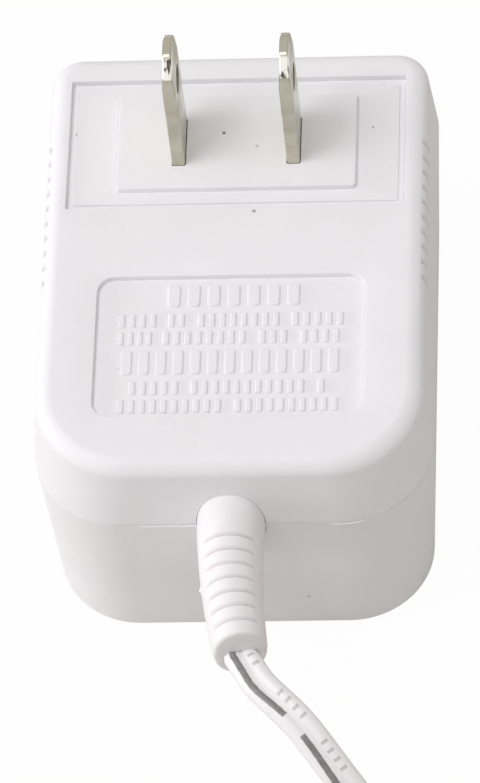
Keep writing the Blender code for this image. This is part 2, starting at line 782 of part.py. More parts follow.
def make_windings(copper, tape):
    inner = tuple(v + FIT for v in bobbin_outer())
    outer = (WINDING_HALF_WIDTH, WINDING_HALF_HEIGHT)
    tape_inner = tuple(v + FIT for v in outer)
    tape_outer = tuple(v + TAPE_THICKNESS for v in tape_inner)
    for label, side in (("primary", 1), ("secondary", -1)):
        span = winding_span(side)
        sleeve_round_leg(label + "_winding", inner, outer, span, WINDING_CORNER, copper)
        tape_radius = WINDING_CORNER + FIT + TAPE_THICKNESS
        sleeve_round_leg(label + "_tape", tape_inner, tape_outer, span, tape_radius, tape)


def tape_top_z():
    return CORE_MID_Z + WINDING_HALF_HEIGHT + FIT + TAPE_THICKNESS


def make_thermal_fuse(finish):
    low, high = winding_span(1)
    base = tape_top_z() + FIT
    corner = (FUSE_LENGTH / 2, base + FUSE_THICKNESS)
    outline = rounded_outline((-FUSE_LENGTH / 2, base), corner, [FUSE_THICKNESS / 4] * 4, [2] * 4)
    middle = (low + high) / 2
    half = FUSE_SHARE * (high - low) / 2
    bm = prism(bmesh.new(), outline, middle - half, middle + half, "Y")
    return object_from("thermal_fuse", bm, finish)


def rail_y(out):
    """The middle of a terminal rail: out is 1 for the blade end and -1 for the lead's end."""
    return CORE_CENTRE_Y + out * (BOBBIN_HALF_LENGTH + RAIL_REACH / 2)


def pin_base_z():
    return CORE_TOP_Z + FIT + RAIL_HEIGHT + FIT


def make_terminal_pins(finish):
    number = 0
    for out in (1, -1):
        for side in (-1, 1):
            number += 1
            centre = (side * PIN_HALF_SPACING, rail_y(out), pin_base_z())
            profile = [(0.0, PIN_RADIUS), (PIN_LENGTH, PIN_RADIUS)]
            bm = loft(bmesh.new(), turned_rings(profile, 10, centre))
            object_from(f"terminal_pin_{number}", bm, finish)


def make_board(finish):
    bm = centred_box(
        bmesh.new(), (0, BOARD_MID_Y), (BOARD_WIDTH, BOARD_LENGTH), BOARD_HEIGHT, BOARD_TOP_Z
    )
    return object_from("circuit_board", bm, finish)


def make_diodes(finish):
    """Axial diodes lying across the board, their leads bent down to it."""
    base = BOARD_TOP_Z + FIT
    axis_z = base + DIODE_STAND + DIODE_RADIUS
    half = DIODE_SPAN / 2
    body = DIODE_LENGTH / 2
    bend = DIODE_BEND
    wire = DIODE_LEAD_RADIUS
    right = [
        (body - DIODE_RADIUS / 4, axis_z, DIODE_RADIUS, 0.0),
        (body, axis_z, DIODE_RADIUS * 0.8, 0.0),
        (body, axis_z, wire, 0.0),
        (half - bend, axis_z, wire, 0.0),
        (half - bend * 0.3, axis_z - bend * 0.3, wire, 0.25),
        (half, axis_z - bend, wire, 0.5),
        (half, base, wire, 0.5),
    ]
    left = [(-x, z, r, -turn) for x, z, r, turn in reversed(right)]
    sides = 12
    for number in range(4):
        y = BOARD_MID_Y + (number - 1.5) * DIODE_PITCH
        rings = []
        for x, z, radius, turn in left + right:
            ring = []
            for i in range(sides):
                angle = 2 * math.pi * i / sides
                across = radius * math.cos(angle)
                up = radius * math.sin(angle)
                tilt = math.pi * turn
                place = (DIODE_CENTRE_X + x + up * math.sin(tilt), y + across, z + up * math.cos(tilt))
                ring.append(place)
            rings.append(ring)
        object_from(f"rectifier_diode_{number + 1}", loft(bmesh.new(), rings), finish)


def make_capacitor(finish):
    """A radial can with a crimp above its base and a rounded shoulder."""
    r = CAPACITOR_RADIUS
    h = CAPACITOR_HEIGHT
    crimp = r / 10
    profile = [(0.0, r - crimp), (crimp, r), (3 * crimp, r), (4 * crimp, r - crimp / 2), (5 * crimp, r)]
    profile += [(h - 1.5 * crimp, r), (h - crimp / 4, r - crimp), (h, r - 2 * crimp)]
    centre = (CAPACITOR_X, BOARD_MID_Y, BOARD_TOP_Z + FIT)
    bm = loft(bmesh.new(), turned_rings(profile, 24, centre))
    return object_from("smoothing_capacitor", bm, finish)


def make_leads(mains, low_voltage, cores):
    """The insulated wires inside the case, left and right alike."""
    board_z = BOARD_TOP_Z + FIT
    pin_z = pin_base_z() + PIN_LENGTH / 2
    beside_pin = PIN_HALF_SPACING + PIN_RADIUS + FIT + LEAD_RADIUS
    over_core = CORE_TOP_Z + FIT + LEAD_RADIUS
    boot_inner = flange_start() + BOOT_FLANGE_THICKNESS + FIT
    u = LEAD_RADIUS
    inner_x = CORE_WIDTH / 2 - 4.3 * u
    outer_x = CORE_WIDTH / 2
    blade_route = [
        (BLADE_SPACING / 2, BLADE_Y, TAIL_Z - FIT),
        (BLADE_SPACING / 2, BLADE_Y - 1.3 * u, TAIL_Z - 3.7 * u),
        (BLADE_SPACING / 2 + 0.7 * u, BLADE_Y - 5.7 * u, TAIL_Z - 5 * u),
        (PIN_HALF_SPACING, CORE_FAR_Y - 0.7 * u, pin_z - 2.7 * u),
        (PIN_HALF_SPACING, rail_y(1) + PIN_RADIUS + FIT + u, pin_z),
    ]
    winding_route = [
        (beside_pin, rail_y(-1), pin_z),
        (beside_pin + 3.3 * u, rail_y(-1) - 1.5 * u, pin_z - u),
        (inner_x - 2 * u, rail_y(-1) + 0.7 * u, over_core + 2 * u),
        (inner_x - 0.3 * u, rail_y(-1) + 8.3 * u, over_core + u),
        (inner_x, CORE_CENTRE_Y, over_core + 0.3 * u),
        (inner_x, CORE_FAR_Y - 1.7 * u, over_core + u),
        (inner_x, CORE_FAR_Y + 2 * u, over_core),
        (inner_x - 0.3 * u, CORE_FAR_Y + 5.3 * u, over_core - 6.7 * u),
        (inner_x - 1.2 * u, CORE_FAR_Y + 6.7 * u, board_z + 8.3 * u),
        (inner_x - 1.2 * u, CORE_FAR_Y + 7 * u, board_z + 1.7 * u),
        (inner_x - 1.2 * u, CORE_FAR_Y + 7 * u, board_z),
    ]
    output_route = [
        (1.8 * u, boot_inner, SEAM_Z),
        (1.8 * u, boot_inner + 1.2 * u, SEAM_Z),
        (3.7 * u, boot_inner + 2.8 * u, SEAM_Z + 1.5 * u),
        (outer_x * 0.30, CORE_NEAR_Y - 1.7 * u, over_core + 2 * u),
        (outer_x * 0.60, CORE_NEAR_Y + 0.3 * u, over_core + 2.7 * u),
        (outer_x * 0.87, CORE_NEAR_Y + 4.3 * u, over_core + 2 * u),
        (outer_x - 0.5 * u, CORE_NEAR_Y + 13.3 * u, over_core + u),
        (outer_x, CORE_CENTRE_Y, over_core + 0.7 * u),
        (outer_x, CORE_FAR_Y - u, over_core + 0.7 * u),
        (outer_x - 0.3 * u, CORE_FAR_Y + 3.3 * u, over_core - u),
        (outer_x - 1.5 * u, BOARD_NEAR_Y + 7.7 * u, board_z + 11.7 * u),
        (outer_x - 2.2 * u, BOARD_NEAR_Y + 10 * u, board_z + 3.7 * u),
        (outer_x - 2.2 * u, BOARD_NEAR_Y + 10.2 * u, board_z + 1.3 * u),
        (outer_x - 2.2 * u, BOARD_NEAR_Y + 10.2 * u, board_z),
    ]
    kinds = (("blade_lead", blade_route, mains), ("winding_lead", winding_route, low_voltage))
    for label, route, finish in (*kinds, ("output_lead", output_route, cores)):
        for name, side in (("left", -1), ("right", 1)):
            points = smooth_route([(side * x, y, z) for x, y, z in route], LEAD_STEP)
            tube(f"{label}_{name}", points, LEAD_RADIUS, finish, 1)


def flange_start():
    """Where the strain relief's flange begins, just inside the near wall."""
    return NEAR_Y + CASE_WALL + draft_inset(SEAM_Z + flange_half_height()) + FIT


def flange_half_height():
    return BOOT_OVAL * BOOT_ROOT_RADIUS + BOOT_FLANGE_REACH


def boot_centre(distance):
    """The strain relief's centre line: straight out of the wall, then bending slowly to +X."""
    share = max(distance, 0.0) / BOOT_LENGTH
    return (BOOT_BEND * share**2, NEAR_Y - distance, SEAM_Z)


def boot_ring(distance, radius, groove=0.0, outset=0.0):
    """One oval section across the centre line; a groove is cut above and below and fades at the sides."""
    centre = boot_centre(distance)
    share = max(distance, 0.0) / BOOT_LENGTH
    yaw = math.atan2(2 * BOOT_BEND * share, BOOT_LENGTH)
    ring = []
    for i in range(BOOT_SIDES):
        angle = 2 * math.pi * i / BOOT_SIDES
        fade = min(max((abs(math.sin(angle)) - 0.45) / 0.25, 0.0), 1.0)
        across = (radius + outset - groove * fade) * math.cos(angle)
        up = (BOOT_OVAL * radius + outset - groove * fade) * math.sin(angle)
        beside = across * math.cos(yaw)
        ring.append((centre[0] + beside, centre[1] + across * math.sin(yaw), centre[2] + up))
    return ring


def boot_radius(distance):
    share = min(max(distance / BOOT_LENGTH, 0.0), 1.0)
    return BOOT_ROOT_RADIUS + (BOOT_END_RADIUS - BOOT_ROOT_RADIUS) * share


def make_strain_relief(finish):
    """A tapered, grooved boot with a flange inside the case and a flat end that the lead leaves."""
    flange_low = NEAR_Y - flange_start()
    flange_high = flange_low - BOOT_FLANGE_THICKNESS
    rings = [
        boot_ring(flange_high, BOOT_ROOT_RADIUS, outset=BOOT_FLANGE_REACH),
        boot_ring(flange_low, BOOT_ROOT_RADIUS, outset=BOOT_FLANGE_REACH),
        boot_ring(flange_low, BOOT_ROOT_RADIUS),
        boot_ring(0.0, BOOT_ROOT_RADIUS),
    ]
    half = BOOT_GROOVE_WIDTH / 2
    for i in range(BOOT_GROOVE_COUNT):
        middle = BOOT_HEAD + i * BOOT_GROOVE_PITCH
        for offset, share in ((-half, 0.0), (-half / 2, 1.0), (half / 2, 1.0), (half, 0.0)):
            place = middle + offset
            rings.append(boot_ring(place, boot_radius(place), BOOT_GROOVE_DEPTH * share))
    for turn in (0, 45, 90):
        back = BOOT_END_ROUND * (1 - math.sin(math.radians(turn)))
        inward = BOOT_END_ROUND * (1 - math.cos(math.radians(turn)))
        rings.append(boot_ring(BOOT_LENGTH - back, BOOT_END_RADIUS, outset=-inward))
    return object_from("strain_relief", loft(bmesh.new(), rings), finish)


def clear_of_coil(point):
    """Whether a tube centred here stays clear of the coil's solid."""
    reach = math.hypot(point.x - COIL_CENTRE[0], point.y - COIL_CENTRE[1])
    across = max(COIL_INNER - reach, reach - COIL_OUTER, 0.0)
    above = max(point.z - COIL_BASE_Z - COIL_HEIGHT, 0.0) / RUN_SLOPE_COSINE
    return math.hypot(across, above) > CORD_WIDTH / 2 + FIT


def make_cord(finish, tie_finish):
    radius = CORD_WIDTH / 2
    for name, route in (("cord_run", RUN_ROUTE), ("cord_tail", TAIL_ROUTE)):
        placed = [(MOUTH_X + across, MOUTH_Y - ahead, z) for across, ahead, z in route]
        fine = [p for p in smooth_route(placed, CORD_WIDTH / 20) if clear_of_coil(p)]
        low = [Vector((p.x, p.y, max(p.z, radius))) for p in fine]
        if name == "cord_tail":
            low = [p for p in low if p.y > PLUG_START_Y + FIT]
        knots = low[:: max(1, len(low) // 24)] + [low[-1]]
        tube(name, smooth_route(knots, CORD_STEP), radius, finish)
    make_coil(finish)
    make_tie(tie_finish)


def make_coil(finish):
    """The wound length as one turned ring with slightly rounded shoulders."""
    soft = CORD_THICKNESS / 2
    inner = COIL_INNER
    outer = COIL_OUTER
    top = COIL_HEIGHT
    profile = [
        (soft, outer),
        (top - soft, outer),
        (top - soft * 0.3, outer - soft * 0.3),
        (top, outer - soft),
        (top, inner + soft),
        (top - soft * 0.3, inner + soft * 0.3),
        (top - soft, inner),
        (soft, inner),
        (soft * 0.3, inner + soft * 0.3),
        (0.0, inner + soft),
        (0.0, outer - soft),
        (soft * 0.3, outer - soft * 0.3),
    ]
    centre = (*COIL_CENTRE, COIL_BASE_Z)
    bm = loft(bmesh.new(), turned_rings(profile, 48, centre), closed=True)
    return object_from("cord_coil", bm, finish)


def make_tie(finish):
    """A flat tie closed round the bundle of turns."""
    radial = Vector((math.cos(TIE_ANGLE), math.sin(TIE_ANGLE), 0.0))
    along = Vector((-math.sin(TIE_ANGLE), math.cos(TIE_ANGLE), 0.0))
    centre = Vector((*COIL_CENTRE, 0.0))
    rings = []
    for offset, grow in ((-1, 0.0), (1, 0.0), (1, TIE_THICKNESS), (-1, TIE_THICKNESS)):
        low = (COIL_INNER - FIT - grow, COIL_BASE_Z - FIT - grow)
        high = (COIL_OUTER + FIT + grow, COIL_BASE_Z + COIL_HEIGHT + FIT + grow)
        outline = rounded_outline(low, high, [2 * TIE_THICKNESS + grow] * 4, [3] * 4)
        shift = centre + along * (offset * TIE_WIDTH / 2)
        rings.append([tuple(shift + radial * u + Vector((0, 0, v))) for u, v in outline])
    return object_from("cord_tie", loft(bmesh.new(), rings, closed=True), finish)


def make_plug(grip_finish, metal, liner_finish):
    """A coaxial plug lying on the surface: moulded grip, sleeve, liner and inner contact."""
    axis_z = GRIP_RADIUS + FIT
    centre = (PLUG_X, PLUG_START_Y, axis_z)
    bore = SLEEVE_RADIUS + FIT
    face = GRIP_NECK_LENGTH + GRIP_LENGTH
    rise = GRIP_RADIUS - GRIP_NECK_RADIUS
    profile = [(0.0, GRIP_NECK_RADIUS - GRIP_RIB_STEP), (GRIP_RIB_STEP, GRIP_NECK_RADIUS)]
    rib = GRIP_NECK_LENGTH / 4
    for i in range(3):
        start = rib * (i + 0.6)
        swell = GRIP_NECK_RADIUS + rise * 0.16 * (i + 1)
        low = swell - GRIP_RIB_STEP
        profile += [(start, swell), (start + rib * 0.45, swell)]
        profile += [(start + rib * 0.5, low), (start + rib * 0.85, low)]
    profile += [
        (GRIP_NECK_LENGTH + GRIP_ROUND, GRIP_RADIUS - GRIP_ROUND / 2),
        (GRIP_NECK_LENGTH + 3 * GRIP_ROUND, GRIP_RADIUS),
        (face - GRIP_ROUND, GRIP_RADIUS),
        (face - GRIP_ROUND * 0.3, GRIP_RADIUS - GRIP_ROUND * 0.3),
        (face, GRIP_RADIUS - GRIP_ROUND),
        (face, bore),
        (face - SLEEVE_SEAT, bore),
    ]
    profile = [(-d, r) for d, r in profile]
    rings = turned_rings(profile, PLUG_SIDES, centre, "Y")
    object_from("plug_grip", loft(bmesh.new(), rings), grip_finish)

    seat = face - SLEEVE_SEAT + FIT
    tip = face + SLEEVE_LENGTH
    sleeve_inner = SLEEVE_RADIUS - SLEEVE_WALL
    liner_outer = sleeve_inner - FIT
    liner_inner = liner_outer - LINER_WALL
    tubes = (
        ("plug_sleeve", seat, tip, SLEEVE_RADIUS, sleeve_inner, metal),
        ("plug_liner", seat, tip, liner_outer, liner_inner, liner_finish),
        ("plug_contact", seat, tip - CONTACT_SHORT, CONTACT_RADIUS, CONTACT_RADIUS - CONTACT_WALL, metal),
    )
    for name, low, high, outer, inner, finish in tubes:
        profile = [(-low, outer), (-high, outer), (-high, inner), (-low, inner)]
        rings = turned_rings(profile, PLUG_SIDES, centre, "Y")
        object_from(name, loft(bmesh.new(), rings, closed=True), finish)


def main():
    clear_scene()
    white = material("case_white", (0.84, 0.83, 0.84), 0.48)
    boot = material("boot_white", (0.86, 0.84, 0.85), 0.55)
    cord = material("cord_white", (0.86, 0.85, 0.86), 0.42)
    nickel = material("nickel", (0.62, 0.60, 0.54), 0.28, 1.0)
    iron = material("silicon_iron", (0.20, 0.20, 0.21), 0.55, 0.8)
    bobbin = material("bobbin_plastic", (0.80, 0.78, 0.70), 0.5)
    copper = material("copper_wire", (0.55, 0.22, 0.09), 0.35, 0.9)
    tape = material("yellow_tape", (0.75, 0.55, 0.10), 0.4)
    fuse = material("fuse_body", (0.75, 0.72, 0.65), 0.5)
    board = material("board_laminate", (0.45, 0.30, 0.12), 0.5)
    black = material("black_epoxy", (0.03, 0.03, 0.03), 0.35)
    can = material("can_sleeve", (0.05, 0.07, 0.20), 0.35)
    mains = material("mains_wire", (0.60, 0.05, 0.04), 0.45)
    low_voltage = material("winding_wire", (0.75, 0.60, 0.08), 0.45)

    make_front_cover(white)
    make_rear_cover(white)
    make_blade("blade_left", -BLADE_SPACING / 2, nickel)
    make_blade("blade_right", BLADE_SPACING / 2, nickel)
    make_core(iron)
    make_bobbin(bobbin)
    make_windings(copper, tape)
    make_thermal_fuse(fuse)
    make_terminal_pins(nickel)
    make_board(board)
    make_diodes(black)
    make_capacitor(can)
    make_leads(mains, low_voltage, cord)
    make_strain_relief(boot)
    make_cord(cord, black)
    make_plug(boot, nickel, black)


main()
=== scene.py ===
"""Dresses the wall-plug power adapter: covers, blades, strain relief, flat twin lead, tie and plug."""

import json
import logging
import math
from dataclasses import dataclass, field
from enum import Enum

import bmesh
import bpy
import numpy as np
from mathutils import Matrix, Vector

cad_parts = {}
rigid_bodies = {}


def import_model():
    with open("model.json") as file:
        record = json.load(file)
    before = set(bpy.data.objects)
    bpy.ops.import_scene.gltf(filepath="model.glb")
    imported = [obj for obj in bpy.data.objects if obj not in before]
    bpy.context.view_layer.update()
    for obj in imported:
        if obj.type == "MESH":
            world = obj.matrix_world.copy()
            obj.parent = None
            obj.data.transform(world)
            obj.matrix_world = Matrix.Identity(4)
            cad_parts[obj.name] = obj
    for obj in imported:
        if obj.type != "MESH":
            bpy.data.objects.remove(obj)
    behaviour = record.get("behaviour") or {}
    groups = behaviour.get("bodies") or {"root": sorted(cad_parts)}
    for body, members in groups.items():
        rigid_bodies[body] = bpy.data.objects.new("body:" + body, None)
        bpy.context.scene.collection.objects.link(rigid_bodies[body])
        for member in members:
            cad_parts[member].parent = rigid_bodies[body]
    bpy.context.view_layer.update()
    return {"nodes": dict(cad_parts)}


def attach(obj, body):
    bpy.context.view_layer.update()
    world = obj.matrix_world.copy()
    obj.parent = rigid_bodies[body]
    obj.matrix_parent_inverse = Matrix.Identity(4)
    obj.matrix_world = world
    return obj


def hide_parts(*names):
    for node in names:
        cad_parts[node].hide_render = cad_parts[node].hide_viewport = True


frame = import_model()

LOG = logging.getLogger("power_adapter")

# Places that several pieces share, in metres
NEAR_Y = -0.0286
FAR_Y = 0.0286
SEAM_Z = 0.0221
FACE_Z = 0.0319
BLADE_Y = 0.0154
BLADE_HALF_SPACING = 0.00635
HOLE_Z = 0.0437
HOLE_RADIUS = 0.0016
MOUTH = np.array([0.0015, -0.0448, SEAM_Z])
COIL_CENTRE = np.array([0.0030, -0.0872])
PLUG_X = 0.0400
PLUG_START_Y = -0.0805
PLUG_Z = 0.0050

# Points closer together than this become one, in metres
MERGE_DISTANCE = 1e-6

# Edges turned by more than this many degrees stay sharp, where a piece has no angle of its own
SHARP_DEGREES = 32.0

# A distance that stands for nowhere near, in metres
FAR_OFF = 0.002

UP = np.array([0.0, 0.0, 1.0])

Triple = tuple[float, float, float]


class Axis(Enum):
    """The axis that flat openings lie across."""

    Y = 1
    Z = 2


def smooth_rise(low: float, high: float, values: np.ndarray) -> np.ndarray:
    """A soft step, three t squared less two t cubed, with t the share of the way from low to high.

    Args:
        low: where the step starts.
        high: where it ends.
        values: the places asked for.

    Returns:
        0 before low, 1 after high.
    """
    share = np.clip((values - low) / (high - low), 0.0, 1.0)
    return share * share * (3.0 - 2.0 * share)


def unit(vectors: np.ndarray) -> np.ndarray:
    """Each row divided by its own length."""
    return vectors / np.linalg.norm(vectors, axis=-1, keepdims=True)


def smooth_route(points: np.ndarray, step: float) -> np.ndarray:
    """Even steps on a Catmull-Rom curve, the cubic that passes each point parallel to its neighbours' chord.

    Args:
        points: the places passed, one a row.
        step: about how far apart the results lie.

    Returns:
        Points at equal steps along the curve, both ends kept.
    """
    knots = np.vstack([2 * points[0] - points[1], points, 2 * points[-1] - points[-2]])
    a, b, c, d = (knots[i : len(knots) - 3 + i, None, :] for i in range(4))
    t = np.linspace(0.0, 1.0, 24, endpoint=False)[None, :, None]
    cubic = 2 * b + (c - a) * t + (2 * a - 5 * b + 4 * c - d) * t**2 + (3 * b - a - 3 * c + d) * t**3
    fine = np.vstack([(0.5 * cubic).reshape(-1, 3), points[-1:]])
    return even_steps(fine, step)


def even_steps(points: np.ndarray, step: float) -> np.ndarray:
    """The same line in equal steps.

    Args:
        points: a fine line, one point a row.
        step: about how far apart the results lie.

    Returns:
        Points at equal steps along the line.
    """
    along = travelled(points)
    count = max(2, int(round(along[-1] / step)))
    places = np.linspace(0.0, along[-1], count + 1)
    return np.column_stack([np.interp(places, along, points[:, k]) for k in range(3)])


def travelled(points: np.ndarray) -> np.ndarray:
    """How far along the line each point lies, the sum of the straight steps before it."""
    steps = np.linalg.norm(np.diff(points, axis=0), axis=1)
    return np.concatenate([[0.0], np.cumsum(steps)])


@dataclass
class RoundedOutline:
    """A rectangle with rounded corners, as the path that a profile is carried round.

    The near corners are the two towards -Y. Extra columns can stand along the sides and the ends.
    """

    half_width: float
    near_y: float
    far_y: float
    near_radius: float
    far_radius: float
    corner_steps: int = 8
    side_places: np.ndarray = field(default_factory=lambda: np.empty(0))
    end_places: np.ndarray = field(default_factory=lambda: np.empty(0))
    least_radius: float = 0.0002

    def carry(self, profile: np.ndarray) -> np.ndarray:
        """Carries a profile round: each row is the outline drawn in by its offset, at its height.

        Args:
            profile: rows of (offset inwards, height).

        Returns:
            A grid of points, one row for each row of the profile.
        """
        inwards = profile[:, :1]
        pieces = []
        corners = ((1, -1), (1, 1), (-1, 1), (-1, -1))
        for k, (sx, sy) in enumerate(corners):
            full = self.near_radius if sy < 0 else self.far_radius
            radius = np.maximum(full - inwards, self.least_radius)
            angle = math.radians(-90 + 90 * k) + np.linspace(0.0, math.pi / 2, self.corner_steps + 1)
            centre_x = sx * (self.half_width - inwards - radius)
            centre_y = (self.near_y if sy < 0 else self.far_y) - sy * (inwards + radius)
            pieces.append((centre_x + radius * np.cos(angle), centre_y + radius * np.sin(angle)))
            if k in (0, 2) and len(self.side_places):
                places = self.side_places if k == 0 else self.side_places[::-1]
                flat = np.broadcast_to(sx * (self.half_width - inwards), (len(profile), len(places)))
                pieces.append((flat, np.broadcast_to(places, flat.shape)))
            if k in (1, 3) and len(self.end_places):
                places = self.end_places[::-1] if k == 1 else self.end_places
                edge = self.far_y - inwards if k == 1 else self.near_y + inwards
                flat = np.broadcast_to(edge, (len(profile), len(places)))
                pieces.append((np.broadcast_to(places, flat.shape), flat))
        x = np.concatenate([p[0] for p in pieces], axis=1)
        y = np.concatenate([p[1] for p in pieces], axis=1)
        return np.stack([x, y, np.broadcast_to(profile[:, 1:2], x.shape)], axis=-1)


class Skin:
    """Surfaces kept as arrays until they are joined into one mesh."""

    def __init__(self) -> None:
        """Starts with no surface."""
        self.points: list[np.ndarray] = []
        self.faces: list[np.ndarray] = []
        self.count = 0

    def add_grid(self, grid: np.ndarray, round_rows: bool = False) -> None:
        """Adds a grid of points joined by four-sided faces, its last column joined to the first.

        Args:
            grid: points by row and column.
            round_rows: joins the last row to the first too.
        """
        rows, columns = grid.shape[:2]
        index = np.arange(rows * columns).reshape(rows, columns) + self.count
        index = np.concatenate([index, index[:, :1]], axis=1)
        if round_rows:
            index = np.concatenate([index, index[:1]], axis=0)
        corners = [index[:-1, :-1], index[:-1, 1:], index[1:, 1:], index[1:, :-1]]
        self.points.append(grid.reshape(-1, 3))
        self.faces.append(np.stack(corners, axis=-1).reshape(-1, 4))
        self.count += rows * columns

    def add_cap(self, ring: np.ndarray) -> None:
        """Closes a ring with three-sided faces that meet in its middle.

        Args:
            ring: the points round the opening.
        """
        count = len(ring)
        index = np.arange(count) + self.count
        middle = np.full(count, self.count + count)
        self.points.append(np.vstack([ring, ring.mean(axis=0)]))
        self.faces.append(np.stack([index, np.roll(index, -1), middle], axis=-1))
        self.count += count + 1

    def to_object(
        self,
        name: str,
        finish: bpy.types.Material | None,
        flat_openings: Axis | None = None,
        sharp_degrees: float = SHARP_DEGREES,
    ) -> bpy.types.Object:
        """Joins the surfaces into one closed mesh with its faces outwards.

        Args:
            name: the piece's name.
            finish: its material.
            flat_openings: fills the openings that lie in a plane across this axis.
            sharp_degrees: edges turned by more than this stay sharp.

        Returns:
            The object, at the origin.
        """
        mesh = bpy.data.meshes.new(name)
        faces = [face for block in self.faces for face in block.tolist()]
        mesh.from_pydata(np.concatenate(self.points).tolist(), [], faces)
        work = bmesh.new()
        work.from_mesh(mesh)
        bmesh.ops.remove_doubles(work, verts=work.verts, dist=MERGE_DISTANCE)
        if flat_openings is not None:
            fill_flat_openings(work, flat_openings)
        bmesh.ops.recalc_face_normals(work, faces=work.faces)
        work.to_mesh(mesh)
        work.free()
        shade(mesh, sharp_degrees)
        made = bpy.data.objects.new(name, mesh)
        bpy.context.scene.collection.objects.link(made)
        if finish is not None:
            mesh.materials.append(finish)
        return made


def fill_flat_openings(work: bmesh.types.BMesh, axis: Axis) -> None:
    """Fills the open edges of each plane across the axis together, so a loop inside another stays a hole.

    Args:
        work: the mesh that is filled.
        axis: the axis that the planes lie across.
    """
    planes: dict[int, list[bmesh.types.BMEdge]] = {}
    for edge in work.edges:
        if edge.is_boundary:
            low, high = (vert.co[axis.value] for vert in edge.verts)
            if abs(low - high) < MERGE_DISTANCE:
                planes.setdefault(round(low * 1e5), []).append(edge)
    for edges in planes.values():
        bmesh.ops.triangle_fill(work, use_beauty=True, use_dissolve=False, edges=edges)


def shade(mesh: bpy.types.Mesh, sharp_degrees: float) -> None:
    """Smooth shading that breaks at edges turned by more than this."""
    mesh.shade_smooth()
    mesh.set_sharp_from_angle(angle=math.radians(sharp_degrees))


def carve(target: bpy.types.Object, cutter: bpy.types.Object) -> None:
    """Takes one closed shape out of another and leaves no helper behind.

    Args:
        target: the piece that is cut.
        cutter: the shape taken out, removed afterwards.
    """
    change = target.modifiers.new("carve", "BOOLEAN")
    change.operation = "DIFFERENCE"
    change.solver = "EXACT"
    change.object = cutter
    before = target.data
    graph = bpy.context.evaluated_depsgraph_get()
    target.data = bpy.data.meshes.new_from_object(target.evaluated_get(graph))
    target.modifiers.clear()
    bpy.data.meshes.remove(before)
    shade(target.data, SHARP_DEGREES)
    bpy.data.objects.remove(cutter, do_unlink=True)


def turned_grid(profile: np.ndarray, centre: np.ndarray, sides: int = 48) -> np.ndarray:
    """A surface turned about Y: each row is a circle of the profile's radius at its distance.

    Args:
        profile: rows of (distance along Y, radius).
        centre: a point of the axis.
        sides: points on each circle.

    Returns:
        A grid of points.
    """
    angle = np.linspace(0.0, 2 * math.pi, sides, endpoint=False)
    x = profile[:, 1:2] * np.cos(angle)
    z = profile[:, 1:2] * np.sin(angle)
    return np.stack([x, np.broadcast_to(profile[:, :1], x.shape), z], axis=-1) + centre


def swept_grid(line: np.ndarray, section: np.ndarray, across: np.ndarray) -> np.ndarray:
    """A section carried along a line: point + across * u + (heading x across) * v for each (u, v).

    Args:
        line: the points of the line, one a row.
        section: rows of (u, v).
        across: the direction of u at each point, made square to the heading here.

    Returns:
        A grid of points, one row for each point of the line.
    """
    heading = unit(np.gradient(line, axis=0))
    across = unit(across - heading * np.sum(across * heading, axis=1, keepdims=True))
    up = np.cross(heading, across)
    sideways = across[:, None, :] * section[None, :, :1]
    return line[:, None, :] + sideways + up[:, None, :] * section[None, :, 1:]


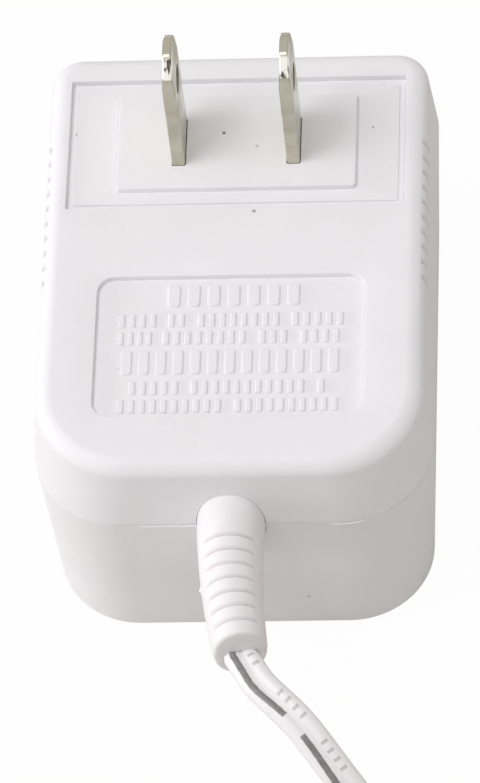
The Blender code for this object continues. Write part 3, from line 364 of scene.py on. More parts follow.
class Recipe:
    """Adds nodes to a tree and joins them by socket name."""

    def __init__(self, tree: bpy.types.NodeTree) -> None:
        """Keeps the tree that the nodes go into."""
        self.tree = tree

    def add(self, kind: str, settings: dict[str, object] | None = None, **inputs: object) -> bpy.types.Node:
        """Adds one node.

        Args:
            kind: the node's type name without its ShaderNode start.
            settings: properties of the node.
            **inputs: values or sockets for its inputs, as feed takes them.

        Returns:
            The node.
        """
        node = self.tree.nodes.new("ShaderNode" + kind)
        for key, value in (settings or {}).items():
            setattr(node, key, value)
        return self.feed(node, **inputs)

    def feed(self, node: bpy.types.Node, **inputs: object) -> bpy.types.Node:
        """Sets a node's inputs.

        Args:
            node: the node.
            **inputs: values or sockets, by socket name with _ for a space, or in_0, in_1 by place.

        Returns:
            The same node.
        """
        for key, value in inputs.items():
            socket = node.inputs[int(key[3:]) if key.startswith("in_") else key.replace("_", " ")]
            if isinstance(value, bpy.types.NodeSocket):
                self.tree.links.new(value, socket)
            else:
                socket.default_value = value
        return node

    def math(self, operation: str, *values: object) -> bpy.types.NodeSocket:
        """The result of one Math node on values or sockets."""
        inputs = {f"in_{i}": value for i, value in enumerate(values)}
        return self.add("Math", {"operation": operation}, **inputs).outputs[0]

    def product(self, *values: object) -> bpy.types.NodeSocket:
        """All the values or sockets multiplied together."""
        result = values[0]
        for value in values[1:]:
            result = self.math("MULTIPLY", result, value)
        return result

    def rest(self, value: object) -> bpy.types.NodeSocket:
        """What the value lacks of 1."""
        return self.math("SUBTRACT", 1.0, value)

    def mix(self, share: object, first: object, second: object) -> bpy.types.NodeSocket:
        """The colour share of the way from first to second."""
        return self.add("MixRGB", None, in_0=share, in_1=first, in_2=second).outputs[0]

    def noise(self, scale: object, detail: float, coordinate: bpy.types.NodeSocket) -> bpy.types.NodeSocket:
        """A noise value from 0 to 1 at this many cells to the metre."""
        return self.add("TexNoise", None, Vector=coordinate, Scale=scale, Detail=detail).outputs["Fac"]

    def ramp(self, value: bpy.types.NodeSocket, low: float, high: float) -> bpy.types.NodeSocket:
        """0 below low and 1 above high, soft between."""
        settings = {"interpolation_type": "SMOOTHSTEP"}
        return self.add("MapRange", settings, Value=value, From_Min=low, From_Max=high).outputs["Result"]

    def spread(self, value: bpy.types.NodeSocket, low: float, high: float) -> bpy.types.NodeSocket:
        """Low where the value is 0 and high where it is 1, even between."""
        return self.add("MapRange", None, Value=value, To_Min=low, To_Max=high).outputs["Result"]

    def bump(self, height: bpy.types.NodeSocket, distance: float) -> bpy.types.NodeSocket:
        """The normal of a relief that is this many metres high where the height is 1."""
        return self.add("Bump", None, Height=height, Distance=distance).outputs["Normal"]

    def objects(self) -> bpy.types.NodeSocket:
        """The piece's own coordinates in metres."""
        return self.add("TexCoord").outputs["Object"]

    def stretched(self, scale: Triple) -> bpy.types.NodeSocket:
        """The piece's own coordinates, each times its own factor."""
        return self.add("Mapping", None, Vector=self.objects(), Scale=scale).outputs[0]

    def attribute(self, name: str) -> bpy.types.NodeSocket:
        """A value stored on the mesh under this name."""
        return self.add("Attribute", {"attribute_name": name}).outputs["Fac"]

    def group(self, tree: bpy.types.NodeTree, **inputs: object) -> bpy.types.Node:
        """Places a shared effect with its own values.

        Args:
            tree: the effect's node group.
            **inputs: values or sockets for its inputs, as feed takes them.

        Returns:
            The group's node.
        """
        node = self.tree.nodes.new("ShaderNodeGroup")
        node.node_tree = tree
        return self.feed(node, **inputs)


def rgba(colour: Triple, share: float = 1.0) -> tuple[float, float, float, float]:
    """The colour times the share, with full cover."""
    return (*(value * share for value in colour), 1.0)


class Marks(Enum):
    """Which set of small marks a moulded finish carries, by its node group's name."""

    SPECKS = "dirt_specks"
    BOOT = "boot_marks"


# Each mark's place, radius and strength: the dirt specks, and the small brown stain at the boot's end
MARK_PLACES: dict[Marks, tuple[tuple[float, ...], ...]] = {
    Marks.SPECKS: (
        (-0.01791, 0.01732, 0.0312, 0.00020, 0.85),
        (-0.00147, 0.01657, 0.0320, 0.00026, 0.75),
        (0.00216, 0.00595, 0.0319, 0.00028, 0.60),
        (0.01612, 0.02341, 0.03145, 0.00024, 0.55),
        (0.01501, 0.01737, 0.03145, 0.00018, 0.50),
        (0.00225, 0.01470, 0.0320, 0.00024, 0.35),
        (0.01492, -0.02740, 0.0308, 0.00026, 0.35),
        (0.02035, -0.02125, 0.0306, 0.00034, 0.20),
        (-0.00574, -0.02545, 0.0316, 0.00020, 0.30),
        (-0.01202, -0.01429, 0.0315, 0.00030, 0.30),
        (0.00739, -0.02790, 0.0062, 0.00034, 0.25),
    ),
    Marks.BOOT: (
        (0.00160, -0.04520, 0.02600, 0.00060, 0.50),
        (0.00100, -0.04530, 0.02590, 0.00045, 0.32),
    ),
}


class Effects:
    """Shared effects, each built once as a node group with named inputs and outputs."""

    def __init__(self) -> None:
        """Builds every group."""
        self.grain = self._grain()
        self.stains = self._stains()
        self.marks = {kind: self._marks(kind) for kind in Marks}
        self.brushing = self._brushing()

    @staticmethod
    def _start(
        name: str, inputs: dict[str, float], outputs: tuple[str, ...]
    ) -> tuple[bpy.types.NodeTree, Recipe, bpy.types.Node, bpy.types.Node]:
        """Makes an empty group.

        Args:
            name: the group's name.
            inputs: its inputs' names and their values at first.
            outputs: its outputs' names.

        Returns:
            The tree, a Recipe on it, and its input and output nodes.
        """
        tree = bpy.data.node_groups.new(name, "ShaderNodeTree")
        for key, value in inputs.items():
            socket = tree.interface.new_socket(key, in_out="INPUT", socket_type="NodeSocketFloat")
            socket.default_value = value
        for key in outputs:
            tree.interface.new_socket(key, in_out="OUTPUT", socket_type="NodeSocketFloat")
        recipe = Recipe(tree)
        return tree, recipe, tree.nodes.new("NodeGroupInput"), tree.nodes.new("NodeGroupOutput")

    def _grain(self) -> bpy.types.NodeTree:
        """Fine moulded grain: two noises of different size give a height and a slight change of tone.

        Returns:
            The group.
        """
        tree, recipe, given, result = self._start("moulded_grain", {"Scale": 2600.0}, ("Height", "Tone"))
        place = recipe.objects()
        height = recipe.noise(given.outputs["Scale"], 3.0, place)
        broad = recipe.noise(240.0, 3.0, place)
        tone = recipe.math("ADD", recipe.product(broad, 0.6), recipe.product(height, 0.4))
        recipe.feed(result, Height=height, Tone=tone)
        return tree

    def _stains(self) -> bpy.types.NodeTree:
        """Faint handling marks: a broad noise kept only where it is high, broken up by a finer one.

        Returns:
            The group.
        """
        inputs = {"Amount": 0.5, "Scale": 60.0}
        tree, recipe, given, result = self._start("handling_stains", inputs, ("Mask",))
        place = recipe.objects()
        high = recipe.ramp(recipe.noise(given.outputs["Scale"], 5.0, place), 0.5, 0.72)
        fine = recipe.ramp(recipe.noise(900.0, 2.0, place), 0.25, 0.75)
        recipe.feed(result, Mask=recipe.product(high, fine, given.outputs["Amount"]))
        return tree

    def _marks(self, kind: Marks) -> bpy.types.NodeTree:
        """Small marks: the greatest of each one's strength, which fades out at its radius round its place.

        Args:
            kind: which set of marks.

        Returns:
            The group.
        """
        tree, recipe, given, result = self._start(kind.value, {"Size": 1.0}, ("Mask",))
        place = recipe.objects()
        total: object = 0.0
        for x, y, z, radius, strength in MARK_PLACES[kind]:
            away = recipe.add("VectorMath", {"operation": "DISTANCE"}, in_0=place, in_1=(x, y, z))
            reach = recipe.product(given.outputs["Size"], radius)
            share = recipe.math("DIVIDE", away.outputs["Value"], reach)
            near = recipe.rest(recipe.ramp(share, 0.45, 1.0))
            total = recipe.math("MAXIMUM", total, recipe.product(near, strength))
        recipe.feed(result, Mask=total)
        return tree

    def _brushing(self) -> bpy.types.NodeTree:
        """Drawn-metal lines along Z: a noise squeezed across, with blotches of dull plating.

        Returns:
            The group.
        """
        tree, recipe, given, result = self._start("drawn_metal", {"Scale": 900.0}, ("Height", "Dull"))
        lines = recipe.noise(given.outputs["Scale"], 3.0, recipe.stretched((1.0, 1.0, 0.06)))
        blotches = recipe.noise(320.0, 4.0, recipe.objects())
        recipe.feed(result, Height=lines, Dull=recipe.ramp(blotches, 0.35, 0.7))
        return tree


@dataclass(frozen=True)
class MouldedFinish:
    """White moulded plastic or soft plastic with grain, a little staining and specks."""

    name: str
    colour: Triple
    stain: Triple
    roughness: float
    roughness_range: float = 0.05
    darkest: float = 0.965
    gloss: float = 0.12
    grain_scale: float = 2600.0
    grain_height: float = 0.00001
    stain_amount: float = 0.08
    marks: Marks = Marks.SPECKS
    mark_colour: Triple = (0.05, 0.045, 0.04)
    softness: float = 0.0

    def build(self, effects: Effects) -> bpy.types.Material:
        """Makes the material.

        Args:
            effects: the shared node groups.

        Returns:
            The material.
        """
        made, recipe, shader = new_material(self.name)
        grain = recipe.group(effects.grain, Scale=self.grain_scale)
        stains = recipe.group(effects.stains, Amount=self.stain_amount)
        marks = recipe.group(effects.marks[self.marks])
        tone = recipe.ramp(grain.outputs["Tone"], 0.2, 0.8)
        base = recipe.mix(tone, rgba(self.colour, self.darkest), rgba(self.colour))
        base = recipe.mix(stains.outputs["Mask"], base, rgba(self.stain))
        base = recipe.mix(marks.outputs["Mask"], base, rgba(self.mark_colour))
        low, high = self.roughness - self.roughness_range, self.roughness + self.roughness_range
        recipe.feed(
            shader,
            Base_Color=base,
            Roughness=recipe.spread(tone, low, high),
            Normal=recipe.bump(grain.outputs["Height"], self.grain_height),
            Specular_IOR_Level=self.gloss,
        )
        soften(recipe, shader, self.softness)
        return made


@dataclass(frozen=True)
class LeadFinish:
    """The lead's smooth white plastic: a broken dark line on one of its cores and grey ticks on the other."""

    name: str
    colour: Triple
    line: Triple
    darkest: float = 0.96
    stain: Triple = (0.66, 0.62, 0.58)
    ticks: Triple = (0.33, 0.32, 0.315)
    softness: float = 0.12
    grain_height: float = 0.000012
    dash: float = 0.0093
    gap: float = 0.0027
    half_width: float = 0.00037
    edge: float = 0.00005
    wobble: float = 0.00016
    tick_half_width: float = 0.00042
    tick_edge: float = 0.00006
    tick_pitch: float = 0.00112
    tick_strength: float = 0.55
    group_pitch: float = 0.0074
    group_start: float = 0.0010
    group_share: float = 0.58

    def build(self, effects: Effects) -> bpy.types.Material:
        """Makes the material; the line and the ticks lie where the mesh's stored values say.

        Args:
            effects: the shared node groups.

        Returns:
            The material.
        """
        made, recipe, shader = new_material(self.name)
        along = recipe.attribute("along")
        grain = recipe.group(effects.grain, Scale=1400.0)
        stains = recipe.group(effects.stains, Amount=0.10, Scale=90.0)
        tone = grain.outputs["Tone"]
        base = recipe.mix(tone, rgba(self.colour, self.darkest), rgba(self.colour))
        base = recipe.mix(stains.outputs["Mask"], base, rgba(self.stain))
        base = recipe.mix(self._line(recipe, along), base, rgba(self.line))
        base = recipe.mix(self._ticks(recipe, along), base, rgba(self.ticks))
        recipe.feed(
            shader,
            Base_Color=base,
            Roughness=recipe.spread(tone, 0.36, 0.46),
            Normal=recipe.bump(grain.outputs["Height"], self.grain_height),
        )
        soften(recipe, shader, self.softness)
        return made

    def _line(self, recipe: Recipe, along: bpy.types.NodeSocket) -> bpy.types.NodeSocket:
        """The dark line's dashes: near its middle, within each dash's share of dash and gap, and patchy.

        Args:
            recipe: the material's nodes.
            along: how far along the lead.

        Returns:
            The line's mask.
        """
        place = recipe.objects()
        wobble = recipe.product(recipe.math("SUBTRACT", recipe.noise(1500.0, 3.0, place), 0.5), self.wobble)
        off = recipe.math("ADD", recipe.attribute("from_line"), wobble)
        stripe = recipe.rest(recipe.ramp(off, self.half_width - self.edge, self.half_width + self.edge))
        whole = self.dash + self.gap
        phase = recipe.math("FRACT", recipe.math("DIVIDE", along, whole))
        share = self.dash / whole
        unended = recipe.rest(recipe.ramp(phase, share - 0.008, share + 0.008))
        begun = recipe.ramp(phase, 0.0, 0.02)
        patchy = recipe.spread(recipe.noise(2200.0, 2.0, place), 0.72, 1.0)
        return recipe.product(stripe, unended, begun, patchy)

    def _ticks(self, recipe: Recipe, along: bpy.types.NodeSocket) -> bpy.types.NodeSocket:
        """Plain grey ticks in short groups: near their middle line, about a third of a pitch each.

        Args:
            recipe: the material's nodes.
            along: how far along the lead.

        Returns:
            The ticks' mask.
        """
        low, high = self.tick_half_width - self.tick_edge, self.tick_half_width + self.tick_edge
        near = recipe.rest(recipe.ramp(recipe.attribute("from_ticks"), low, high))
        phase = recipe.math("FRACT", recipe.math("DIVIDE", along, self.tick_pitch))
        away = recipe.math("ABSOLUTE", recipe.math("SUBTRACT", phase, 0.5))
        tick = recipe.rest(recipe.ramp(away, 0.10, 0.24))
        shifted = recipe.math("ADD", along, self.group_start)
        phase = recipe.math("FRACT", recipe.math("DIVIDE", shifted, self.group_pitch))
        group = recipe.rest(recipe.ramp(phase, self.group_share, self.group_share + 0.03))
        return recipe.product(near, tick, group, self.tick_strength)


@dataclass(frozen=True)
class MetalFinish:
    """Plated metal with drawn lines and dull blotches; the blades' polished bevelled tips carry a painted
    bright highlight and painted dark reflections.
    """

    name: str
    colour: Triple
    dull: Triple
    roughness: float
    dull_roughness: float
    line_height: float = 0.000004
    bevel_z: tuple[float, float] = (0.0475, 0.0494)
    # Painted highlight: the bevel's near-white colour stands in for bright light mirrored by the polished tip
    bevel_highlight_colour: Triple = (0.90, 0.89, 0.86)
    bevel_roughness: float = 0.10
    # Painted reflections: dark patches on the bevel stand in for dark surroundings mirrored by the polished
    # tip
    dark_reflection_colour: Triple = (0.10, 0.085, 0.07)
    shade_colour: Triple = (0.07, 0.065, 0.05)
    tip_shade: float = 0.26
    hole_shade: float = 0.80

    def build(self, effects: Effects) -> bpy.types.Material:
        """Makes the material.

        Args:
            effects: the shared node groups.

        Returns:
            The material.
        """
        made, recipe, shader = new_material(self.name)
        drawn = recipe.group(effects.brushing)
        place = recipe.add("SeparateXYZ", None, Vector=recipe.objects())
        # The bevel's mask, and a noise mask of painted dark reflections within it
        bevel, dark_reflections = self._bevel(recipe, place)
        tip = recipe.ramp(place.outputs["Z"], self.bevel_z[1] - 0.0002, self.bevel_z[1])
        dim = recipe.math("MAXIMUM", recipe.product(tip, self.tip_shade), self._hole(recipe, place))
        base = recipe.mix(drawn.outputs["Dull"], rgba(self.colour), rgba(self.dull))
        base = recipe.mix(dim, base, rgba(self.shade_colour))
        # Painted highlight: the polished bevel turns near white
        base = recipe.mix(bevel, base, rgba(self.bevel_highlight_colour))
        # Painted reflections: dark patches within the bevel
        base = recipe.mix(recipe.product(bevel, dark_reflections), base, rgba(self.dark_reflection_colour))
        rough = recipe.spread(drawn.outputs["Dull"], self.roughness, self.dull_roughness)
        kept = recipe.product(rough, recipe.rest(bevel))
        recipe.feed(
            shader,
            Base_Color=base,
            Roughness=recipe.math("ADD", kept, recipe.product(bevel, self.bevel_roughness)),
            Normal=recipe.bump(drawn.outputs["Height"], self.line_height),
            Metallic=1.0,
        )
        return made

    def _bevel(
        self, recipe: Recipe, place: bpy.types.Node
    ) -> tuple[bpy.types.NodeSocket, bpy.types.NodeSocket]:
        """Where the blades' near tips are bevelled and carry a painted bright highlight, and the painted dark
        reflections there.

        Args:
            recipe: the material's nodes.
            place: the node that gives the three coordinates.

        Returns:
            The bevel's mask, within the bevel's heights and on the near half, and the mask of the painted
            dark reflections.
        """
        low, high = self.bevel_z
        above = recipe.ramp(place.outputs["Z"], low - 0.00005, low + 0.00005)
        below = recipe.rest(recipe.ramp(place.outputs["Z"], high - 0.00030, high - 0.00005))
        near = recipe.rest(recipe.ramp(place.outputs["Y"], BLADE_Y - 0.0010, BLADE_Y))
        # This noise places the painted dark reflections on the bevel
        noise = recipe.noise(1000.0, 2.0, recipe.stretched((2.0, 0.7, 0.5)))
        return recipe.product(above, below, near), recipe.ramp(noise, 0.48, 0.60)

    def _hole(self, recipe: Recipe, place: bpy.types.Node) -> bpy.types.NodeSocket:
        """The shade inside the blades' holes: full within the hole's radius round its middle.

        Args:
            recipe: the material's nodes.
            place: the node that gives the three coordinates.

        Returns:
            The mask.
        """
        away_y = recipe.math("SUBTRACT", place.outputs["Y"], BLADE_Y)
        away_z = recipe.math("SUBTRACT", place.outputs["Z"], HOLE_Z)
        away = recipe.add("CombineXYZ", None, X=0.0, Y=away_y, Z=away_z)
        length = recipe.add("VectorMath", {"operation": "LENGTH"}, Vector=away.outputs[0])
        outside = recipe.ramp(length.outputs["Value"], HOLE_RADIUS + 0.00005, HOLE_RADIUS + 0.00012)
        return recipe.product(recipe.rest(outside), self.hole_shade)


@dataclass(frozen=True)
class PlainFinish:
    """A finish of an inner piece: two tones mixed by noise, or laid in fine layers along one axis."""

    name: str
    colour: Triple
    second: Triple
    roughness: float
    scale: float = 400.0
    layers: Triple = (1.0, 1.0, 1.0)
    metallic: float = 0.0
    roughness_range: float = 0.08
    relief: float = 0.00002

    def build(self, effects: Effects) -> bpy.types.Material:
        """Makes the material.

        Args:
            effects: the shared node groups, which a plain finish does without.

        Returns:
            The material.
        """
        made, recipe, shader = new_material(self.name)
        noise = recipe.noise(self.scale, 4.0, recipe.stretched(self.layers))
        low, high = self.roughness - self.roughness_range, self.roughness + self.roughness_range
        recipe.feed(
            shader,
            Base_Color=recipe.mix(recipe.ramp(noise, 0.3, 0.7), rgba(self.colour), rgba(self.second)),
            Roughness=recipe.spread(noise, low, high),
            Normal=recipe.bump(noise, self.relief),
            Metallic=self.metallic,
        )
        return made


def new_material(name: str) -> tuple[bpy.types.Material, Recipe, bpy.types.Node]:
    """Makes an empty material.

    Args:
        name: its name.

    Returns:
        The material, a Recipe on its tree, and its Principled shader.
    """
    made = bpy.data.materials.new(name)
    made.use_nodes = True
    return made, Recipe(made.node_tree), made.node_tree.nodes["Principled BSDF"]


def soften(recipe: Recipe, shader: bpy.types.Node, weight: float) -> None:
    """Lets light into a soft plastic to a depth of about a millimetre.

    Args:
        recipe: the material's nodes.
        shader: its Principled shader.
        weight: how much of the light goes in.
    """
    radius = (1.0, 0.85, 0.75)
    recipe.feed(shader, Subsurface_Weight=weight, Subsurface_Radius=radius, Subsurface_Scale=0.0012)


FINISHES = (
    MouldedFinish("case_white", (0.874, 0.866, 0.888), (0.70, 0.655, 0.60), 0.44),
    MouldedFinish(
        "boot_white",
        (0.882, 0.850, 0.872),
        (0.72, 0.67, 0.62),
        0.5,
        grain_scale=1800.0,
        stain_amount=0.22,
        marks=Marks.BOOT,
        mark_colour=(0.50, 0.40, 0.27),
        softness=0.08,
    ),
    LeadFinish("cord_white", (0.885, 0.865, 0.882), (0.118, 0.114, 0.112)),
    MetalFinish("nickel", (0.575, 0.548, 0.455), (0.50, 0.474, 0.375), 0.16, 0.40),
    PlainFinish("silicon_iron", (0.20, 0.20, 0.21), (0.11, 0.11, 0.115), 0.5, 300.0, (0.2, 0.2, 9.0), 0.9),
    PlainFinish("bobbin_plastic", (0.80, 0.78, 0.70), (0.74, 0.71, 0.62), 0.5),
    PlainFinish("copper_wire", (0.60, 0.25, 0.10), (0.40, 0.14, 0.05), 0.35, 500.0, (0.2, 8.0, 0.2), 0.9),
    PlainFinish("yellow_tape", (0.78, 0.58, 0.12), (0.68, 0.47, 0.08), 0.28),
    PlainFinish("fuse_body", (0.75, 0.72, 0.65), (0.66, 0.62, 0.54), 0.5),
    PlainFinish("board_laminate", (0.47, 0.31, 0.12), (0.36, 0.22, 0.08), 0.55, 700.0, (1.0, 6.0, 1.0)),
    PlainFinish("black_epoxy", (0.030, 0.030, 0.032), (0.050, 0.050, 0.052), 0.45),
    PlainFinish("can_sleeve", (0.05, 0.07, 0.20), (0.04, 0.055, 0.16), 0.3),
    PlainFinish("mains_wire", (0.60, 0.05, 0.04), (0.50, 0.04, 0.03), 0.4),
    PlainFinish("winding_wire", (0.75, 0.60, 0.08), (0.66, 0.50, 0.06), 0.4),
)


def finish_piece(piece: bpy.types.Object, slot_name: str, *nodes: str) -> bpy.types.Object:
    """Fixes a piece to the adapter and lets it stand for its CAD nodes.

    Args:
        piece: the dressed piece.
        slot_name: not used.
        *nodes: the CAD nodes that it stands for.

    Returns:
        The piece.
    """
    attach(piece, "root")
    if nodes:
        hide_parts(*nodes)
    LOG.info("%s: %d faces", piece.name, len(piece.data.polygons))
    return piece


@dataclass(frozen=True)
class View:
    """The photograph's camera: its place, the directions of its own axes, and its lens in millimetres."""

    place: Triple = (0.05081, -0.37281, 0.56042)
    right: Triple = (0.99687196, 0.03013492, -0.07306303)
    up: Triple = (0.01566982, 0.83074077, 0.55643888)
    back: Triple = (0.07746468, -0.5558432, 0.82766996)
    lens: float = 273.2

    def build(self) -> None:
        """Places the camera that the render uses."""
        data = bpy.data.cameras.new("view")
        data.lens = self.lens
        data.sensor_width = 36.0
        data.sensor_fit = "AUTO"
        data.clip_start = 0.02
        data.clip_end = 20.0
        camera = bpy.data.objects.new("view", data)
        turn = Matrix((self.right, self.up, self.back)).transposed()
        camera.matrix_world = Matrix.Translation(self.place) @ turn.to_4x4()
        bpy.context.scene.collection.objects.link(camera)
        bpy.context.scene.camera = camera


@dataclass
class Lead:
    """The flat twin lead: free from the strain relief, wound on edge into a coil, and out to the plug."""

    width: float = 0.0037
    thickness: float = 0.0020
    turn_pitch: float = 0.00215
    turns_across: int = 6
    low_z: float = 0.00285
    high_z: float = 0.00715
    mean_radius: float = 0.0220
    jog: float = 0.15
    steps_to_turn: int = 44
    groove_share: float = 0.72
    line_start: float = 0.0008
    run_offsets: tuple[Triple, ...] = (
        (-0.00028, -0.00150, 0.02165),
        (0.00004, 0.00030, 0.02165),
        (0.00052, 0.00103, 0.02163),
        (0.00113, 0.00203, 0.02154),
        (0.00187, 0.00323, 0.02140),
        (0.00316, 0.00461, 0.02114),
        (0.00449, 0.00583, 0.02083),
        (0.00571, 0.00699, 0.02044),
        (0.00680, 0.00809, 0.01993),
        (0.00775, 0.00917, 0.01935),
        (0.00869, 0.01024, 0.01865),
        (0.00962, 0.01128, 0.01790),
        (0.01055, 0.01229, 0.01710),
        (0.01230, 0.01410, 0.01550),
        (0.01450, 0.01640, 0.01330),
        (0.01680, 0.01880, 0.01100),
        (0.01910, 0.02120, 0.00890),
        (0.02132, 0.02352, 0.00730),
    )
    tail_offsets: tuple[Triple, ...] = (
        (0.0086, 0.0159, 0.00285),
        (0.0165, 0.0176, 0.00285),
        (0.0240, 0.0190, 0.00285),
        (0.0307, 0.0215, 0.0032),
        (0.0356, 0.0258, 0.0038),
        (0.0379, 0.0309, 0.0044),
        (0.0385, 0.0357, 0.0050),
        (0.0385, 0.0392, 0.0050),
    )

    @staticmethod
    def _from_mouth(offsets: tuple[Triple, ...]) -> np.ndarray:
        """Points from (to the side, ahead, height) as measured from the strain relief's mouth."""
        table = np.array(offsets)
        return np.column_stack([MOUTH[0] + table[:, 0], MOUTH[1] - table[:, 1], table[:, 2]])

    def _coil(self, start: np.ndarray, end: np.ndarray) -> np.ndarray:
        """The wound length: circles of one radius that step to the next place in the last share of a turn.

        Args:
            start: where the lead comes onto the outermost turn of the upper layer.
            end: where it leaves the outermost turn of the lower layer.

        Returns:
            The points of the turns.
        """
        first = math.atan2(start[1] - COIL_CENTRE[1], start[0] - COIL_CENTRE[0])
        last = math.atan2(end[1] - COIL_CENTRE[1], end[0] - COIL_CENTRE[0])
        whole = 2 * self.turns_across - 1
        total = whole + ((first - last) % (2 * math.pi)) / (2 * math.pi)
        turn = np.linspace(0.0, total, int(total * self.steps_to_turn) + 1)
        number = np.floor(turn)
        step = smooth_rise(1.0 - self.jog, 1.0, turn - number)
        inwards = np.clip(number + step, 0.0, self.turns_across - 1)
        outwards = np.clip(number + step - self.turns_across, 0.0, self.turns_across - 1)
        outer = self.mean_radius + self.turn_pitch * (self.turns_across - 1) / 2
        radius = outer - self.turn_pitch * (inwards - outwards)
        drop = np.clip(number + step - (self.turns_across - 1), 0.0, 1.0)
        height = self.high_z + (self.low_z - self.high_z) * drop
        angle = first - 2 * math.pi * turn
        return np.column_stack(
            [COIL_CENTRE[0] + radius * np.cos(angle), COIL_CENTRE[1] + radius * np.sin(angle), height]
        )

    def _core(self) -> tuple[float, float]:
        """A core's radius, and how far its middle lies from the lead's."""
        return self.thickness / 2, self.width / 2 - self.thickness / 2

    def _section(self) -> np.ndarray:
        """Two round cores side by side: two arcs joined over a shallow groove.

        Returns:
            Rows of (across, up).
        """
        radius, centre = self._core()
        angle = np.radians(np.linspace(-132.0, 132.0, 19))
        right = np.column_stack([centre + radius * np.cos(angle), radius * np.sin(angle)])
        left = np.column_stack([-centre - radius * np.cos(angle), -radius * np.sin(angle)])
        top = np.array([[0.0, self.groove_share * radius]])
        return np.vstack([right, top, left, -top])

    @staticmethod
    def _facing(route: np.ndarray, run_end: int) -> np.ndarray:
        """Which way the flat side faces: up at the mouth, then level, so that the lead lies on its edge.

        Args:
            route: the whole line.
            run_end: the index of the coil's first point.

        Returns:
            A direction for each point, square to the heading only roughly.
        """
        heading = unit(np.gradient(route, axis=0))
        level = unit(np.cross(heading, UP))
        along = travelled(route[: run_end + 1])
        stations = np.array([0.0, 0.0018, 0.006, 0.012, 0.021, 0.030, along[-1]])
        keys = np.array(
            [
                [0.0, 0.0, 1.0],
                [0.0, -0.02, 1.0],
                [0.03, -0.26, 0.96],
                [0.06, -0.45, 0.89],
                [0.06, -0.58, 0.81],
                [-0.30, -0.70, 0.50],
                level[run_end],
            ]
        )
        level[: run_end + 1] = np.column_stack([np.interp(along, stations, keys[:, k]) for k in range(3)])
        return unit(level)

    def build(self, finish: bpy.types.Material) -> tuple[bpy.types.Object, np.ndarray]:
        """Sweeps the lead's section along its route.

        Args:
            finish: its material.

        Returns:
            The lead and the points that it follows.
        """
        run = smooth_route(self._from_mouth(self.run_offsets), 0.0009)
        tail = smooth_route(self._from_mouth(self.tail_offsets), 0.0020)
        coil = self._coil(run[-1], tail[0])
        route = np.vstack([run, coil[1:-1], tail])
        heading = unit(np.gradient(route, axis=0))
        across = unit(np.cross(self._facing(route, len(run)), heading))
        section = self._section()
        skin = Skin()
        skin.add_grid(swept_grid(route, section, across))
        lead = skin.to_object("lead", finish, sharp_degrees=60.0)
        self._mark(lead, route, section)
        return lead, route

    def _from_top(self, section: np.ndarray, side: int) -> np.ndarray:
        """How far round one core each point lies from that core's top: the turned angle times the radius.

        Args:
            section: rows of (across, up).
            side: -1 for the left core and 1 for the right.

        Returns:
            The distances, and FAR_OFF for points below or on the other core.
        """
        radius, centre = self._core()
        angle = np.arctan2(section[:, 1], section[:, 0] - side * centre)
        seen = (side * section[:, 0] > 0.0001) & (section[:, 1] > -0.0004)
        return np.where(seen, (angle - math.pi / 2) * radius, FAR_OFF)

    def _mark(self, lead: bpy.types.Object, route: np.ndarray, section: np.ndarray) -> None:
        """Stores how far along each vertex lies, and how far from the dark line's and the ticks' middles.

        The dark line runs along the left core's top and drifts to one side where the lead bends.

        Args:
            lead: the swept piece.
            route: its line.
            section: its section.
        """
        along = np.repeat(travelled(route) - self.line_start, len(section))
        drift = np.interp(along, [0.005, 0.009, 0.014, 0.018], [0.0, 0.00032, 0.00030, 0.00015])
        from_line = np.tile(self._from_top(section, -1), len(route))
        from_ticks = np.tile(self._from_top(section, 1), len(route))
        stored = {
            "along": along,
            "from_line": np.abs(from_line + np.where(from_line < FAR_OFF, drift, 0.0)),
            "from_ticks": np.abs(from_ticks),
        }
        for name, values in stored.items():
            store = lead.data.attributes.new(name, "FLOAT", "POINT")
            store.data.foreach_set("value", values.astype(np.float32))


@dataclass(frozen=True)
class BarRow:
    """One row of blocks in the panel: where it lies, its blocks' length and pitch, and the spans it fills."""

    middle: float
    tall: float
    pitch: float
    spans: tuple[tuple[float, float], ...]


# The rows of blocks, from the far side of the panel to the near one
BAR_ROWS = (
    BarRow(-0.0049, 0.0029, 0.00215, ((-0.00735, 0.00785),)),
    BarRow(
        -0.0081,
        0.0018,
        0.00113,
        ((-0.0124, -0.0079), (-0.0070, -0.0048), (-0.0038, 0.0055), (0.0064, 0.0125)),
    ),
    BarRow(
        -0.0104,
        0.0018,
        0.00113,
        ((-0.0124, -0.0083), (-0.0076, 0.0019), (0.0029, 0.0064), (0.0074, 0.0121)),
    ),
    BarRow(-0.0136, 0.0032, 0.00187, ((-0.0121, 0.0122),)),
    BarRow(-0.0169, 0.0018, 0.00113, ((-0.0110, -0.0052), (-0.0043, 0.0084), (0.0094, 0.0106))),
    BarRow(-0.0193, 0.0018, 0.00113, ((-0.0122, -0.0005), (0.0005, 0.0121))),
)


